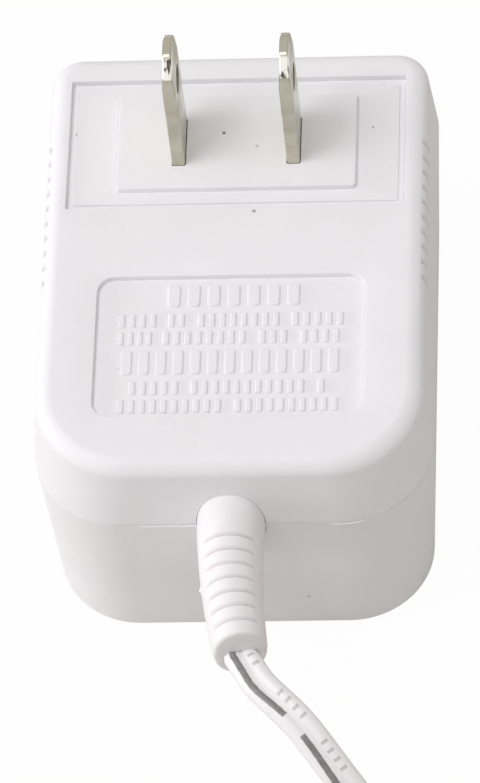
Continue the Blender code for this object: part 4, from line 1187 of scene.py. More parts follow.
@dataclass
class Covers:
    """The moulded front and rear covers, welded along the seam."""

    half_width: float = 0.0218
    near_radius: float = 0.0102
    far_radius: float = 0.0043
    near_growth: float = 0.0013
    end_reach: float = 0.0112
    end_share_at_face: float = 0.88
    front_draft: float = math.radians(5.3)
    rear_draft: float = math.radians(2.5)
    front_round: float = 0.0017
    least_round: float = 0.0006
    rear_round: float = 0.0010
    wall: float = 0.0020
    ceiling_z: float = 0.0299
    floor_z: float = 0.0020
    half_seam: float = 0.00001
    open_width: float = 0.00022
    proud_width: float = 0.00010
    lip_split: float = 0.00085
    lip_height: float = 0.0015
    recess_half_width: float = 0.0187
    recess_half_length: float = 0.00875
    recess_depth: float = 0.00072
    recess_step: float = 0.00027
    groove_width: float = 0.0008
    plateau_half_width: float = 0.0132
    plateau_half_length: float = 0.00625
    plateau_z: float = 0.0320
    panel_half_width: float = 0.0147
    panel_near_y: float = -0.02085
    panel_far_y: float = -0.00255
    panel_corner: float = 0.0020
    panel_depth: float = 0.0006
    notch_count: int = 10
    notch_pitch: float = 0.0020
    notch_width: float = 0.0006
    notch_length: float = 0.0022
    notch_depth: float = 0.00045
    notch_below_face: float = 0.0023
    notch_centre_y: float = 0.00640
    notch_rows_z: float = 0.0265
    crease: float = 0.00012
    slot_half_width: float = 0.00079
    slot_half_length: float = 0.003215
    slot_z: tuple[float, float] = (0.0290, 0.0330)
    bar_height: float = 0.00026

    def _outline(self) -> RoundedOutline:
        """The case's outline at the seam, with columns at every notch's edges.

        Returns:
            The outline.
        """
        number = np.arange(self.notch_count) - (self.notch_count - 1) / 2
        centres = self.notch_centre_y + number * self.notch_pitch
        half = self.notch_width / 2
        edges = np.array([-half - 0.00010, -half, -half + 0.00008, half - 0.00008, half, half + 0.00010])
        return RoundedOutline(
            self.half_width,
            NEAR_Y,
            FAR_Y,
            self.near_radius,
            self.far_radius,
            corner_steps=20,
            side_places=(centres[:, None] + edges[None, :]).ravel(),
            end_places=np.linspace(-self.end_reach, self.end_reach, 29),
        )

    def _seam_looks(self) -> tuple[np.ndarray, np.ndarray]:
        """How the weld shows: a proud bright rim on two near stretches, and an open line elsewhere.

        Returns:
            For each column, the share of the proud rim and the share of the open line.
        """
        ring = self._outline().carry(np.array([[0.0, SEAM_Z]]))[0]
        x, near = ring[:, 0], ring[:, 1] < -0.020
        left = smooth_rise(-0.0104, -0.0096, x) * (1.0 - smooth_rise(-0.0030, -0.0022, x))
        right = smooth_rise(0.0104, 0.0112, x) * (1.0 - smooth_rise(0.0140, 0.0152, x))
        opened = np.where(ring[:, 1] < 0.0, smooth_rise(0.0146, 0.0190, x), smooth_rise(0.0, 0.02, x))
        opened = np.maximum(opened, 0.35 * smooth_rise(0.010, 0.020, -x))
        return np.where(near, left + right, 0.0), opened

    def _front_profile(self, opened: float) -> tuple[np.ndarray, int]:
        """Down the inside, round the rim and up the outside, drawn in by height times the draft's slope.

        Args:
            opened: how far the rim's outer edge is bevelled away, for the open line.

        Returns:
            Rows of (offset, height), and the row where the outer wall starts.
        """
        slope = math.tan(self.front_draft)
        rim = SEAM_Z + self.half_seam
        turn = np.linspace(0.0, math.pi / 2, 5)
        inner = max(self.front_round - self.wall, self.least_round)
        z = self.ceiling_z - inner * (1 - np.cos(turn))
        inside = np.column_stack([self.wall + inner * (1 - np.sin(turn)), z])
        ledge = rim + self.lip_height
        rim_rows = np.array(
            [
                [self.wall, ledge],
                [self.lip_split, ledge],
                [self.lip_split, rim],
                [0.00003 + opened, rim],
                [0.00001 + 0.4 * opened, rim + 0.00001 + 0.25 * opened],
                [0.0, rim + 0.00003 + 0.6 * opened],
            ]
        )
        rows = [np.array([[self.wall + inner + 0.0004, self.ceiling_z]]), inside, rim_rows]
        start = sum(len(block) for block in rows) - 1
        # Close rows where the notches are pressed in
        heights = np.concatenate(
            [
                np.linspace(rim + 0.0006, self.notch_rows_z - 0.0003, 5),
                np.linspace(self.notch_rows_z, FACE_Z - self.front_round - 0.0001, 22),
            ]
        )
        wall = np.column_stack([np.zeros_like(heights), heights])
        turn = np.linspace(math.pi / 2, 0.0, 17)
        edge = np.column_stack(
            [
                self.front_round * (1 - np.sin(turn)),
                FACE_Z - self.front_round * (1 - np.cos(turn)),
            ]
        )
        rows += [wall, edge, np.array([[self.front_round + 0.00015, FACE_Z]])]
        profile = np.vstack(rows)
        profile[:, 0] += (profile[:, 1] - SEAM_Z) * slope
        return profile, start

    def _carry_front(self, profile: np.ndarray) -> np.ndarray:
        """Carries a front profile round; the near corners' radius grows evenly from the seam to the face.

        At the face, the columns along the ends keep to the shorter straight between the wider corners.

        Args:
            profile: rows of (offset inwards, height).

        Returns:
            The grid of points.
        """
        plain, wide = self._outline(), self._outline()
        wide.near_radius += self.near_growth
        wide.end_places = self.end_share_at_face * plain.end_places
        share = np.clip((profile[:, 1] - SEAM_Z) / (FACE_Z - SEAM_Z), 0.0, 1.0)[:, None, None]
        return (1.0 - share) * plain.carry(profile) + share * wide.carry(profile)

    def _notched(self, grid: np.ndarray, start: int) -> np.ndarray:
        """Presses the notches into the outer side walls.

        Inside a notch the wall goes back to a floor that slopes up to the wall at its lower end.

        Args:
            grid: the cover's surface.
            start: its first outer row.

        Returns:
            The grid with the notches.
        """
        outer = grid[start:].copy()
        x, y, z = outer[..., 0], outer[..., 1], outer[..., 2]
        slope = math.tan(self.front_draft)
        number = (y - self.notch_centre_y) / self.notch_pitch + (self.notch_count - 1) / 2
        nearest = np.clip(np.round(number), 0, self.notch_count - 1)
        away = np.abs(number - nearest) * self.notch_pitch
        half = self.notch_width / 2
        inside = 1.0 - smooth_rise(half - 0.00008, half + 0.00010, away)
        face_side = self.half_width - (FACE_Z - self.notch_below_face - SEAM_Z) * slope
        low_z = FACE_Z - self.notch_below_face - self.notch_length / 2
        depth = 1.25 * self.notch_depth * smooth_rise(low_z - 0.0002, low_z + self.notch_depth, z)
        floor = face_side - depth
        wanted = np.minimum(np.abs(x), np.where(z > low_z - 0.0002, floor, np.abs(x)))
        outer[..., 0] = np.sign(x) * (np.abs(x) + (wanted - np.abs(x)) * inside)
        made = grid.copy()
        made[start:] = outer
        return made

    @staticmethod
    def _edge(low: float, high: float, soft: float, lean: float = 0.0, crease: float = 0.0) -> np.ndarray:
        """A steep side with both edges eased: rows of (offset, height) from high to low.

        Args:
            low: the height of the floor.
            high: the height of the top.
            soft: how far the easing reaches.
            lean: how far the side's foot stands out beyond its top.
            crease: how deep the fine line at the foot is.

        Returns:
            The rows.
        """
        return np.array(
            [
                [-soft, high],
                [-0.45 * soft, high - 0.12 * soft],
                [-0.10 * soft, high - 0.50 * soft],
                [0.10 * soft, high - soft],
                [0.30 * soft + lean, low + soft],
                [0.60 * soft + lean, low + 0.40 * soft - crease],
                [1.10 * soft + lean + 0.5 * crease, low + 0.08 * soft - crease],
                [1.80 * soft + lean + crease, low],
            ]
        )

    def _face(self, skin: Skin) -> None:
        """Adds the recess with its border groove, the raised plateau and the panel.

        Args:
            skin: the front cover's surfaces.
        """
        floor = FACE_Z - self.recess_depth
        step = floor + self.recess_step
        near, far = BLADE_Y - self.recess_half_length, BLADE_Y + self.recess_half_length
        recess = RoundedOutline(self.recess_half_width, near, far, 0.00025, 0.00025, 5)
        rows = self._edge(floor, FACE_Z, 0.00006, crease=self.crease)
        gap = self.groove_width
        inner = RoundedOutline(self.recess_half_width - gap, near + gap, far - gap, 0.0003, 0.0003, 5)
        rising = self._edge(floor, step, 0.00007)[::-1].copy()
        rising[:, 0] *= -1.0
        skin.add_grid(np.concatenate([recess.carry(rows), inner.carry(rising)]))

        plateau = RoundedOutline(
            self.plateau_half_width,
            BLADE_Y - self.plateau_half_length,
            BLADE_Y + self.plateau_half_length,
            0.0004,
            0.0004,
            6,
        )
        rising = self._edge(step, self.plateau_z, 0.00005, 0.00006, self.crease)[::-1].copy()
        rising[:, 0] *= -1.0
        skin.add_grid(plateau.carry(rising))

        panel = RoundedOutline(
            self.panel_half_width,
            self.panel_near_y,
            self.panel_far_y,
            self.panel_corner,
            self.panel_corner,
            14,
        )
        rows = self._edge(FACE_Z - self.panel_depth, FACE_Z, 0.00006, crease=self.crease)
        skin.add_grid(panel.carry(rows))

    def build_front(self, finish: bpy.types.Material) -> bpy.types.Object:
        """Makes the front cover as a closed shell with its recess, panel, notches and openings.

        Args:
            finish: its material.

        Returns:
            The cover.
        """
        profile, start = self._front_profile(0.0)
        closed = self._carry_front(profile)
        opened = self._carry_front(self._front_profile(self.open_width)[0])
        grid = closed + (opened - closed) * self._seam_looks()[1][None, :, None]
        grid = self._notched(grid, start)
        skin = Skin()
        skin.add_grid(grid)
        self._face(skin)
        cover = skin.to_object("front_cover_dressed", finish, Axis.Z)
        for side in (-1, 1):
            carve(cover, self._blade_slot(side))
        carve(cover, boot_hole())
        return finish_piece(cover, "case_white", "front_cover")

    def _blade_slot(self, side: int) -> bpy.types.Object:
        """A close slot for one blade through the plateau.

        Args:
            side: -1 for the left blade and 1 for the right.

        Returns:
            The shape to cut away.
        """
        near, far = BLADE_Y - self.slot_half_length, BLADE_Y + self.slot_half_length
        slot = RoundedOutline(self.slot_half_width, near, far, 0.0001, 0.0001, 2)
        skin = Skin()
        surface = slot.carry(np.array([[0.0, self.slot_z[0]], [0.0, self.slot_z[1]]]))
        skin.add_grid(surface + np.array([side * BLADE_HALF_SPACING, 0.0, 0.0]))
        return skin.to_object("slot", None, Axis.Z)

    def _rear_profile(self, proud: float, opened: float) -> np.ndarray:
        """From the flat back round its edge and up to the rim, over the tongue and down the inside.

        Args:
            proud: how far the rim stands out beyond the front cover.
            opened: how far the rim's outer edge is bevelled away.

        Returns:
            Rows of (offset, height), drawn in by the distance from the seam times the draft's slope.
        """
        rim = SEAM_Z - self.half_seam
        turn = np.linspace(0.0, math.pi / 2, 9)
        rounded = np.column_stack(
            [self.rear_round * (1 - np.sin(turn)), self.rear_round * (1 - np.cos(turn))]
        )
        tongue = rim + self.lip_height - 0.0001
        split = self.lip_split + 0.0001
        outside = np.vstack(
            [
                np.array([[self.rear_round + 0.0004, 0.0]]),
                rounded,
                np.column_stack([np.zeros(8), np.linspace(0.003, rim - 0.0005, 8)]),
                np.array(
                    [
                        [-0.1 * proud, rim - 0.00003 - 0.6 * opened - 1.9 * proud],
                        [-0.8 * proud, rim - 0.00002 - 0.45 * opened - proud],
                        [-proud, rim - 0.00002 - 0.40 * opened - 0.4 * proud],
                        [0.00001 - 0.7 * proud + 0.4 * opened, rim - 0.00001 - 0.25 * opened],
                        [0.00003 + opened, rim],
                        [split, rim],
                        [split, tongue],
                        [self.wall, tongue],
                        [self.wall, self.floor_z + 0.0006],
                        [self.wall + 0.0003, self.floor_z + 0.0001],
                        [self.wall + 0.0009, self.floor_z],
                    ]
                ),
            ]
        )
        outside[:, 0] += np.abs(SEAM_Z - outside[:, 1]) * math.tan(self.rear_draft)
        return outside

    def build_rear(self, finish: bpy.types.Material) -> bpy.types.Object:
        """Makes the rear cover, whose rim is proud where the weld shows as a bright line.

        Args:
            finish: its material.

        Returns:
            The cover.
        """
        outline = self._outline()
        proud, opened = (share[None, :, None] for share in self._seam_looks())
        plain = outline.carry(self._rear_profile(0.0, 0.0))
        rimmed = outline.carry(self._rear_profile(self.proud_width, 0.0))
        bevelled = outline.carry(self._rear_profile(0.0, self.open_width))
        skin = Skin()
        skin.add_grid(plain + (rimmed - plain) * proud + (bevelled - plain) * opened)
        cover = skin.to_object("rear_cover_dressed", finish, Axis.Z)
        carve(cover, boot_hole())
        return finish_piece(cover, "case_white", "rear_cover")

    def build_bars(self, finish: bpy.types.Material) -> bpy.types.Object:
        """Makes the raised plain blocks in the panel, row by row.

        Each span is shared out among upright blocks with rounded corners and eased top edges.

        Args:
            finish: their material.

        Returns:
            The blocks, as one piece.
        """
        floor, height = FACE_Z - self.panel_depth, self.bar_height
        profile = np.array(
            [
                [0.0, floor - 0.0001],
                [0.0, floor + 0.00002],
                [0.00005, floor + 0.5 * height],
                [0.00011, floor + 0.86 * height],
                [0.00018, floor + height],
                [0.00024, floor + height],
            ]
        )
        skin = Skin()
        for row in BAR_ROWS:
            near, far = row.middle - row.tall / 2, row.middle + row.tall / 2
            corner = 0.2 * row.pitch
            for low, high in row.spans:
                count = max(1, round((high - low) / row.pitch))
                step = (high - low) / count
                block = RoundedOutline(0.34 * step, near, far, corner, corner, 4, least_radius=2e-5)
                surface = block.carry(profile)
                for k in range(count):
                    skin.add_grid(surface + np.array([low + (k + 0.5) * step, 0.0, 0.0]))
        return finish_piece(skin.to_object("panel_bars", finish, Axis.Z), "case_white")


@dataclass
class Boot:
    """The ribbed strain relief: an oval taper that bends a little to +X."""

    root: float = 0.0037
    end: float = 0.0029
    oval: float = 1.38
    length: float = 0.0162
    bend: float = 0.0015
    head: float = 0.00418
    groove_count: int = 7
    groove_pitch: float = 0.0017
    fall_share: float = 0.28
    rise_share: float = 0.20
    groove_depth: float = 0.00085
    fullness: float = 0.93
    flash: float = 0.00006
    end_round: float = 0.0004
    inner_end: float = -0.0032
    flange: float = 0.0013
    flange_thickness: float = 0.0016
    nub_height: float = 0.00022
    nub_place: float = 0.0080
    nub_length: float = 0.0003
    clearance: float = 0.00006
    sides: int = 72

    def radius(self, distance: np.ndarray) -> np.ndarray:
        """Half the width at each distance from the wall, a straight taper."""
        return self.root + (self.end - self.root) * distance / self.length

    def oval_shares(self, angle: np.ndarray) -> tuple[np.ndarray, np.ndarray]:
        """Cosine and sine raised to the fullness, for a section a little fuller than an ellipse.

        Args:
            angle: round the section, from +X.

        Returns:
            The shares of the half width and of the half height, with their signs.
        """
        cosine, sine = np.cos(angle), np.sin(angle)
        return (
            np.sign(cosine) * np.abs(cosine) ** self.fullness,
            np.sign(sine) * np.abs(sine) ** self.fullness,
        )

    def rings(self, distance: np.ndarray, outset: np.ndarray) -> np.ndarray:
        """Oval sections: across the taper's radius, upwards that times the oval ratio, less the grooves.

        Each ridge rises steeply out of its groove, runs level and drops in a quarter round to the next one.
        The grooves fade towards the sides, where a fine flash line runs along the mould's parting. The nub is
        a bell of the distance from its place, on the -X side.

        Args:
            distance: from the wall along the boot, one for each ring.
            outset: added to the section's size, one for each ring.

        Returns:
            A grid of points, one row for each ring.
        """
        angle = np.linspace(0.0, 2 * math.pi, self.sides, endpoint=False)[None, :]
        d = distance[:, None]
        place = (d - self.head) / self.groove_pitch
        last = self.groove_count - 1
        within = (place > 0.0) & (place < last)
        share = np.where(within, place - np.floor(place), np.clip(1.0 + place, 0.0, 1.0))
        fall = 1.0 - np.sqrt(1.0 - np.clip((share - 1.0) / self.fall_share + 1.0, 0.0, 0.995) ** 2)
        after = np.where(within, share, np.maximum(place - last, 0.0))
        rise = np.clip(1.0 - after / self.rise_share, 0.0, 1.0) ** 3.5
        cut = np.where(place < 0.0, fall, np.where(within, np.maximum(fall, rise), rise))
        fade = smooth_rise(0.40, 0.68, np.abs(np.sin(angle)))
        depth = self.groove_depth * cut * fade
        line = self.flash * (np.abs(np.sin(angle)) < 0.02) * (d > 0.0)
        bell = np.exp(-(((d - self.nub_place) / self.nub_length) ** 2))
        nub = self.nub_height * bell * (np.abs(angle - math.pi) < 0.02)
        side, top = self.oval_shares(angle)
        across = (self.radius(d) + outset[:, None] + line + nub - depth) * side
        up = (self.oval * self.radius(d) + outset[:, None] - depth) * top
        return self._placed(d, across, up)

    def _placed(self, d: np.ndarray, across: np.ndarray, up: np.ndarray) -> np.ndarray:
        """Section points set on the bent centre line, turned about Z with its heading.

        Args:
            d: distances from the wall, as a column.
            across: offsets sideways.
            up: offsets upwards.

        Returns:
            The points.
        """
        share = np.clip(d / self.length, 0.0, None)
        slope = 2 * self.bend * share / self.length
        norm = np.sqrt(1 + slope**2)
        x = self.bend * share**2 + across / norm
        y = NEAR_Y - d + across * slope / norm
        return np.stack([x, y, SEAM_Z + up], axis=-1)

    def build(self, finish: bpy.types.Material) -> bpy.types.Object:
        """Makes the boot, from its flange inside the case to its flat end with a snug opening.

        Args:
            finish: its material.

        Returns:
            The boot.
        """
        flange_front = self.inner_end + self.flange_thickness
        turn = np.linspace(0.0, math.pi / 2, 6)
        body = np.concatenate([[flange_front], np.arange(0.0, self.length - self.end_round, 0.00006)])
        back = self.length - self.end_round * (1 - np.sin(turn))
        inwards = -self.end_round * (1 - np.cos(turn))
        distance = np.concatenate([[self.inner_end, flange_front], body, back])
        outset = np.concatenate([[self.flange, self.flange], np.zeros(len(body)), inwards])
        grid = self.rings(distance, outset)
        angle = np.linspace(0.0, 2 * math.pi, self.sides, endpoint=False)[None, :]
        x = 0.00086 * np.clip(1.7 * np.cos(angle), -1.0, 1.0) + 0.00100 * np.cos(angle)
        z = 0.00096 * np.sin(angle) - 0.00045
        mouth = [self.length, self.length - 0.00006, self.length - 0.0016]
        grow = [1.04, 1.0, 1.0]
        hole = np.concatenate(
            [self._placed(np.array([[d]]), g * x, g * z) for d, g in zip(mouth, grow)], axis=0
        )
        skin = Skin()
        skin.add_grid(np.concatenate([grid, hole]))
        skin.add_cap(grid[0])
        skin.add_cap(hole[-1])
        boot = skin.to_object("boot", finish, sharp_degrees=50.0)
        return finish_piece(boot, "boot_white", "strain_relief")


def boot_hole() -> bpy.types.Object:
    """The close oval hole for the boot through the near walls.

    Returns:
        The shape to cut away.
    """
    boot = Boot()
    angle = np.linspace(0.0, 2 * math.pi, boot.sides, endpoint=False)
    side, top = boot.oval_shares(angle)
    across = (boot.root + boot.clearance) * side
    up = SEAM_Z + (boot.oval * boot.root + boot.clearance) * top
    ring = np.stack([across, np.zeros_like(angle), up], axis=-1)
    skin = Skin()
    skin.add_grid(np.stack([ring + [0.0, y, 0.0] for y in (NEAR_Y - 0.002, NEAR_Y + 0.0046)]))
    return skin.to_object("hole", None, Axis.Y)


@dataclass
class Blades:
    """Two flat plated blades with a round hole and bevelled tips."""

    half_width: float = 0.003175
    half_thickness: float = 0.00072
    tip_share: float = 0.68
    tip_z: float = 0.0495
    tail_z: float = 0.0262
    chamfer: float = 0.0020
    edge: float = 0.00022

    def _outline(self, inwards: float) -> np.ndarray:
        """The blade's outline, with its six corners eased by short arcs.

        Args:
            inwards: how far it is drawn in.

        Returns:
            Rows of (Y from the blade's middle, Z).
        """
        half = self.half_width - inwards
        tip = self.tip_z - inwards
        cut = self.chamfer - inwards * (2 - math.sqrt(2))
        corners = np.array(
            [
                [-half, self.tail_z + inwards],
                [half, self.tail_z + inwards],
                [half, tip - cut],
                [half - cut, tip],
                [-half + cut, tip],
                [-half, tip - cut],
            ]
        )
        before = unit(np.roll(corners, 1, axis=0) - corners)
        after = unit(np.roll(corners, -1, axis=0) - corners)
        share = np.linspace(0.0, 1.0, 6)[None, :, None]
        reach = np.array([0.0003, 0.0003, 0.00035, 0.00045, 0.00045, 0.00035])[:, None, None]
        start = corners[:, None, :] + before[:, None, :] * reach
        end = corners[:, None, :] + after[:, None, :] * reach
        # A quadratic curve from start to end with its middle point on the corner
        arc = (1 - share) ** 2 * start + 2 * share * (1 - share) * corners[:, None, :] + share**2 * end
        return arc.reshape(-1, 2)

    def _coined(self, grid: np.ndarray) -> np.ndarray:
        """Presses the tip thinner and rounds its far end.

        Args:
            grid: points in (X, Y, Z) about the blade's middle.

        Returns:
            The points, with X drawn in.
        """
        y, z = grid[..., 1], grid[..., 2]
        thin = 1.0 - (1.0 - self.tip_share) * smooth_rise(self.tip_z - 0.0042, self.tip_z - 0.0012, z)
        beyond = np.clip((y - (self.half_width - self.chamfer - 0.0006)) / 0.0014, 0.0, 1.0)
        high = smooth_rise(self.tip_z - self.chamfer, self.tip_z - 0.5 * self.chamfer, z)
        made = grid.copy()
        made[..., 0] *= thin * (1.0 - 0.35 * beyond**2 * high)
        return made

    @staticmethod
    def _seen_from_hole(outline: np.ndarray) -> np.ndarray:
        """The angle of each point of an outline about the hole's middle, rising from the first."""
        return np.unwrap(np.arctan2(outline[:, 1] - HOLE_Z, outline[:, 0]))

    def build(self, side: int, finish: bpy.types.Material) -> bpy.types.Object:
        """Makes one blade as one surface: over a flat side, round the edge, back and through the hole.

        Args:
            side: -1 for the left blade and 1 for the right.
            finish: its material.

        Returns:
            The blade.
        """
        own = self._seen_from_hole(self._outline(0.0))
        even = np.linspace(0.0, 2 * math.pi, 56, endpoint=False)
        angle = np.unique(np.concatenate([own % (2 * math.pi), even]))

        def rim(inwards: float) -> np.ndarray:
            """The outline drawn in, at the same angles as the hole's points."""
            outline = self._outline(inwards)
            seen = self._seen_from_hole(outline)
            return np.column_stack([np.interp(angle, seen, part, period=2 * math.pi) for part in outline.T])

        def circle(ease: float) -> np.ndarray:
            """The hole's rim, this much wider than the hole."""
            radius = HOLE_RADIUS + ease
            return np.column_stack([radius * np.cos(angle), HOLE_Z + radius * np.sin(angle)])

        half = self.half_thickness
        rows = [(0.86 * half, circle(0.0)), (0.95 * half, circle(0.00004))]
        inner, outer = circle(0.00012), rim(self.edge)
        shares = (0.0, 0.1, 0.25, 0.4, 0.55, 0.7, 0.85, 1.0)
        rows += [(half, inner + (outer - inner) * share) for share in shares]
        for turn in np.linspace(0.0, math.pi / 2, 5)[1:]:
            rows.append((half - self.edge * (1 - math.cos(turn)), rim(self.edge * (1 - math.sin(turn)))))
        rows += [(-x, flat) for x, flat in rows[::-1]]
        grid = np.stack([np.column_stack([np.full(len(angle), x), flat]) for x, flat in rows])
        skin = Skin()
        skin.add_grid(self._coined(grid) + [side * BLADE_HALF_SPACING, BLADE_Y, 0.0], round_rows=True)
        node = "blade_left" if side < 0 else "blade_right"
        blade = skin.to_object(f"{node}_dressed", finish, sharp_degrees=40.0)
        return finish_piece(blade, "nickel", node)


@dataclass
class Plug:
    """The coaxial plug at the lead's far end, pointing to -Y."""

    neck_radius: float = 0.0028
    neck_length: float = 0.0080
    grip_radius: float = 0.0047
    grip_length: float = 0.0170
    sleeve_radius: float = 0.00275
    sleeve_wall: float = 0.00045
    sleeve_length: float = 0.0095

    @staticmethod
    def _turned(
        node: str, rows: list[list[float]], finish: bpy.types.Material, slot: str
    ) -> bpy.types.Object:
        """Turns rows of (distance from the plug's start, radius) about the plug's axis.

        Args:
            node: the CAD node that the piece stands for, whose name it takes with _dressed added.
            rows: the profile, closed where its first row is its last.
            finish: its material.
            slot: the record's slot.

        Returns:
            The piece.
        """
        profile = np.array(rows)
        profile[:, 0] *= -1.0
        centre = np.array([PLUG_X, PLUG_START_Y, PLUG_Z])
        skin = Skin()
        closed = bool(np.allclose(profile[0], profile[-1]))
        grid = turned_grid(profile[:-1] if closed else profile, centre)
        skin.add_grid(grid, round_rows=closed)
        if not closed:
            skin.add_cap(grid[0])
            skin.add_cap(grid[-1])
        return finish_piece(skin.to_object(f"{node}_dressed", finish, sharp_degrees=40.0), slot, node)

    @staticmethod
    def _grooves(starts: np.ndarray, radius: float, width: float, depth: float) -> list[list[float]]:
        """The profile across a row of grooves, each with a short slope down and up.

        Args:
            starts: where each groove starts.
            radius: the radius between the grooves.
            width: each groove's width.
            depth: each groove's depth.

        Returns:
            Rows of (distance, radius).
        """
        slope = 0.0002
        rows = []
        for start in starts:
            rows += [
                [start, radius],
                [start + slope, radius - depth],
                [start + width - slope, radius - depth],
                [start + width, radius],
            ]
        return rows

    def _grip_rows(self, end: float) -> list[list[float]]:
        """The grip's profile: a grooved neck, a shoulder, the grooved grip and the seat of the sleeve.

        Args:
            end: where the grip ends.

        Returns:
            Rows of (distance, radius).
        """
        neck, slim, thick = self.neck_length, self.neck_radius, self.grip_radius
        rows = [[0.0, 0.0022], [0.0002, slim - 0.0002], [0.0006, slim]]
        rows += self._grooves(0.0012 + 0.0017 * np.arange(4), slim, 0.0009, 0.0003)
        rows += [[neck, slim], [neck + 0.0003, slim + 0.0006]]
        rows += [[neck + 0.0010, thick - 0.0003], [neck + 0.0016, thick]]
        rows += self._grooves(neck + 0.0030 + 0.0018 * np.arange(6), thick, 0.0008, 0.00025)
        rows += [[end - 0.0008, thick], [end - 0.0002, thick - 0.0003], [end, thick - 0.0009]]
        return rows + [[end, self.sleeve_radius + 0.0001], [end - 0.0018, self.sleeve_radius + 0.0001]]

    def build(self, finishes: dict[str, bpy.types.Material]) -> list[bpy.types.Object]:
        """Makes the ribbed grip, the sleeve, the liner and the inner contact.

        Args:
            finishes: the materials by slot.

        Returns:
            The four pieces.
        """
        end = self.neck_length + self.grip_length
        out = self.sleeve_radius
        bore = out - self.sleeve_wall
        tip = end + self.sleeve_length
        sleeve_rows = [
            [end - 0.0015, out],
            [tip - 0.00025, out],
            [tip - 0.00006, out - 0.00008],
            [tip, out - 0.0002],
            [tip - 0.00006, bore + 0.00008],
            [tip - 0.00025, bore],
            [end - 0.0015, bore],
            [end - 0.0015, out],
        ]
        liner_rows = [
            [end - 0.0012, bore - 0.00005],
            [tip - 0.0005, bore - 0.00005],
            [tip - 0.0003, bore - 0.0002],
            [tip - 0.0005, bore - 0.0004],
            [end + 0.0008, bore - 0.0004],
            [end + 0.0008, 0.0004],
            [end - 0.0012, 0.0004],
            [end - 0.0012, bore - 0.00005],
        ]
        contact_rows = [
            [end + 0.0009, 0.0013],
            [tip - 0.0012, 0.0013],
            [tip - 0.0010, 0.00118],
            [tip - 0.0012, 0.00105],
            [end + 0.0009, 0.00105],
            [end + 0.0009, 0.0013],
        ]
        parts = (
            ("plug_grip", self._grip_rows(end), "boot_white"),
            ("plug_sleeve", sleeve_rows, "nickel"),
            ("plug_liner", liner_rows, "black_epoxy"),
            ("plug_contact", contact_rows, "nickel"),
        )
        return [self._turned(node, rows, finishes[slot], slot) for node, rows, slot in parts]


@dataclass
class Tie:
    """The wire tie round the coil: a flat band round the bundle and its two ends twisted together."""

    angle: float = math.radians(215)
    inner_radius: float = 0.01545
    outer_radius: float = 0.02855
    low_z: float = 0.00052
    high_z: float = 0.00950
    width: float = 0.0034
    thickness: float = 0.0006
    strand_radius: float = 0.00042
    strand_length: float = 0.0075
    strand_turns: float = 3.0
    strand_apart: float = 0.00052
    splay: float = 0.0016
    droop: float = 0.0012

    def _frame(self) -> tuple[np.ndarray, np.ndarray, np.ndarray]:
        """The coil's centre, and the directions out from it and along the bundle at the tie."""
        out = np.array([math.cos(self.angle), math.sin(self.angle), 0.0])
        return np.array([*COIL_CENTRE, 0.0]), out, np.array([-out[1], out[0], 0.0])

    def _band(self) -> np.ndarray:
        """The flat band: a section with eased edges carried round a rounded rectangle about the bundle.

        Returns:
            A grid of points, one row for each point of the loop.
        """
        centre, out, side = self._frame()
        half_reach = (self.outer_radius - self.inner_radius) / 2
        loop = RoundedOutline(half_reach, self.low_z, self.high_z, 0.0018, 0.0018, 8)
        flat = loop.carry(np.array([[0.0, 0.0]]))[0]
        middle = (self.inner_radius + self.outer_radius) / 2
        line = centre + out * (middle + flat[:, :1]) + UP * flat[:, 1:2]
        heading = unit(np.roll(line, -1, axis=0) - np.roll(line, 1, axis=0))
        outward = np.cross(heading, side)
        upper = np.array([[-1.0, 0.7], [-0.92, 1.0], [0.92, 1.0], [1.0, 0.7]])
        section = np.vstack([upper, -upper]) * np.array([self.width / 2, self.thickness / 2])
        return line[:, None, :] + side * section[None, :, :1] + outward[:, None, :] * section[None, :, 1:]

    def _strand(self, start: float) -> np.ndarray:
        """One twisted end: a helix away from the coil that droops evenly and splays at its tip.

        Args:
            start: the angle where its twist begins.

        Returns:
            A grid of points, one row for each point of the strand.
        """
        centre, out, side = self._frame()
        share = np.linspace(0.0, 1.0, 60)
        twist = start + 2 * math.pi * self.strand_turns * share
        reach = self.outer_radius + 0.0002 + self.strand_length * share
        apart = self.strand_apart + self.splay * smooth_rise(0.82, 1.0, share)
        height = (self.low_z + self.high_z) / 2 + apart * np.sin(twist) - self.droop * share
        line = centre + out * reach[:, None] + side * (apart * np.cos(twist))[:, None] + UP * height[:, None]
        ring = np.linspace(0.0, 2 * math.pi, 10, endpoint=False)
        section = self.strand_radius * np.column_stack([np.cos(ring), np.sin(ring)])
        return swept_grid(line, section, np.broadcast_to(UP, line.shape))

    def build(self, finish: bpy.types.Material) -> bpy.types.Object:
        """Makes the band round the bundle, and two strands that turn about each other.

        Args:
            finish: its material.

        Returns:
            The tie.
        """
        skin = Skin()
        skin.add_grid(self._band(), round_rows=True)
        for start in (0.0, math.pi):
            tube = self._strand(start)
            skin.add_grid(tube)
            skin.add_cap(tube[0])
            skin.add_cap(tube[-1])
        return finish_piece(skin.to_object("tie", finish), "black_epoxy", "cord_tie")


@dataclass(frozen=True)
class Lamp:
    """An oval lamp one metre from the adapter, turned to it."""

    name: str
    watts: float
    width: float
    height: float
    towards: Triple
    colour: Triple = (0.978, 0.982, 1.0)
    aim_z: float = 0.02

    def build(self) -> None:
        """Hangs the lamp."""
        data = bpy.data.lights.new(self.name, "AREA")
        data.shape = "ELLIPSE"
        data.size = self.width
        data.size_y = self.height
        data.energy = self.watts
        data.color = self.colour
        lamp = bpy.data.objects.new(self.name, data)
        towards = Vector(self.towards).normalized()
        turn = towards.to_track_quat("Z", "Y").to_matrix().to_4x4()
        lamp.matrix_world = Matrix.Translation(towards + Vector((0.0, 0.0, self.aim_z))) @ turn
        bpy.context.scene.collection.objects.link(lamp)


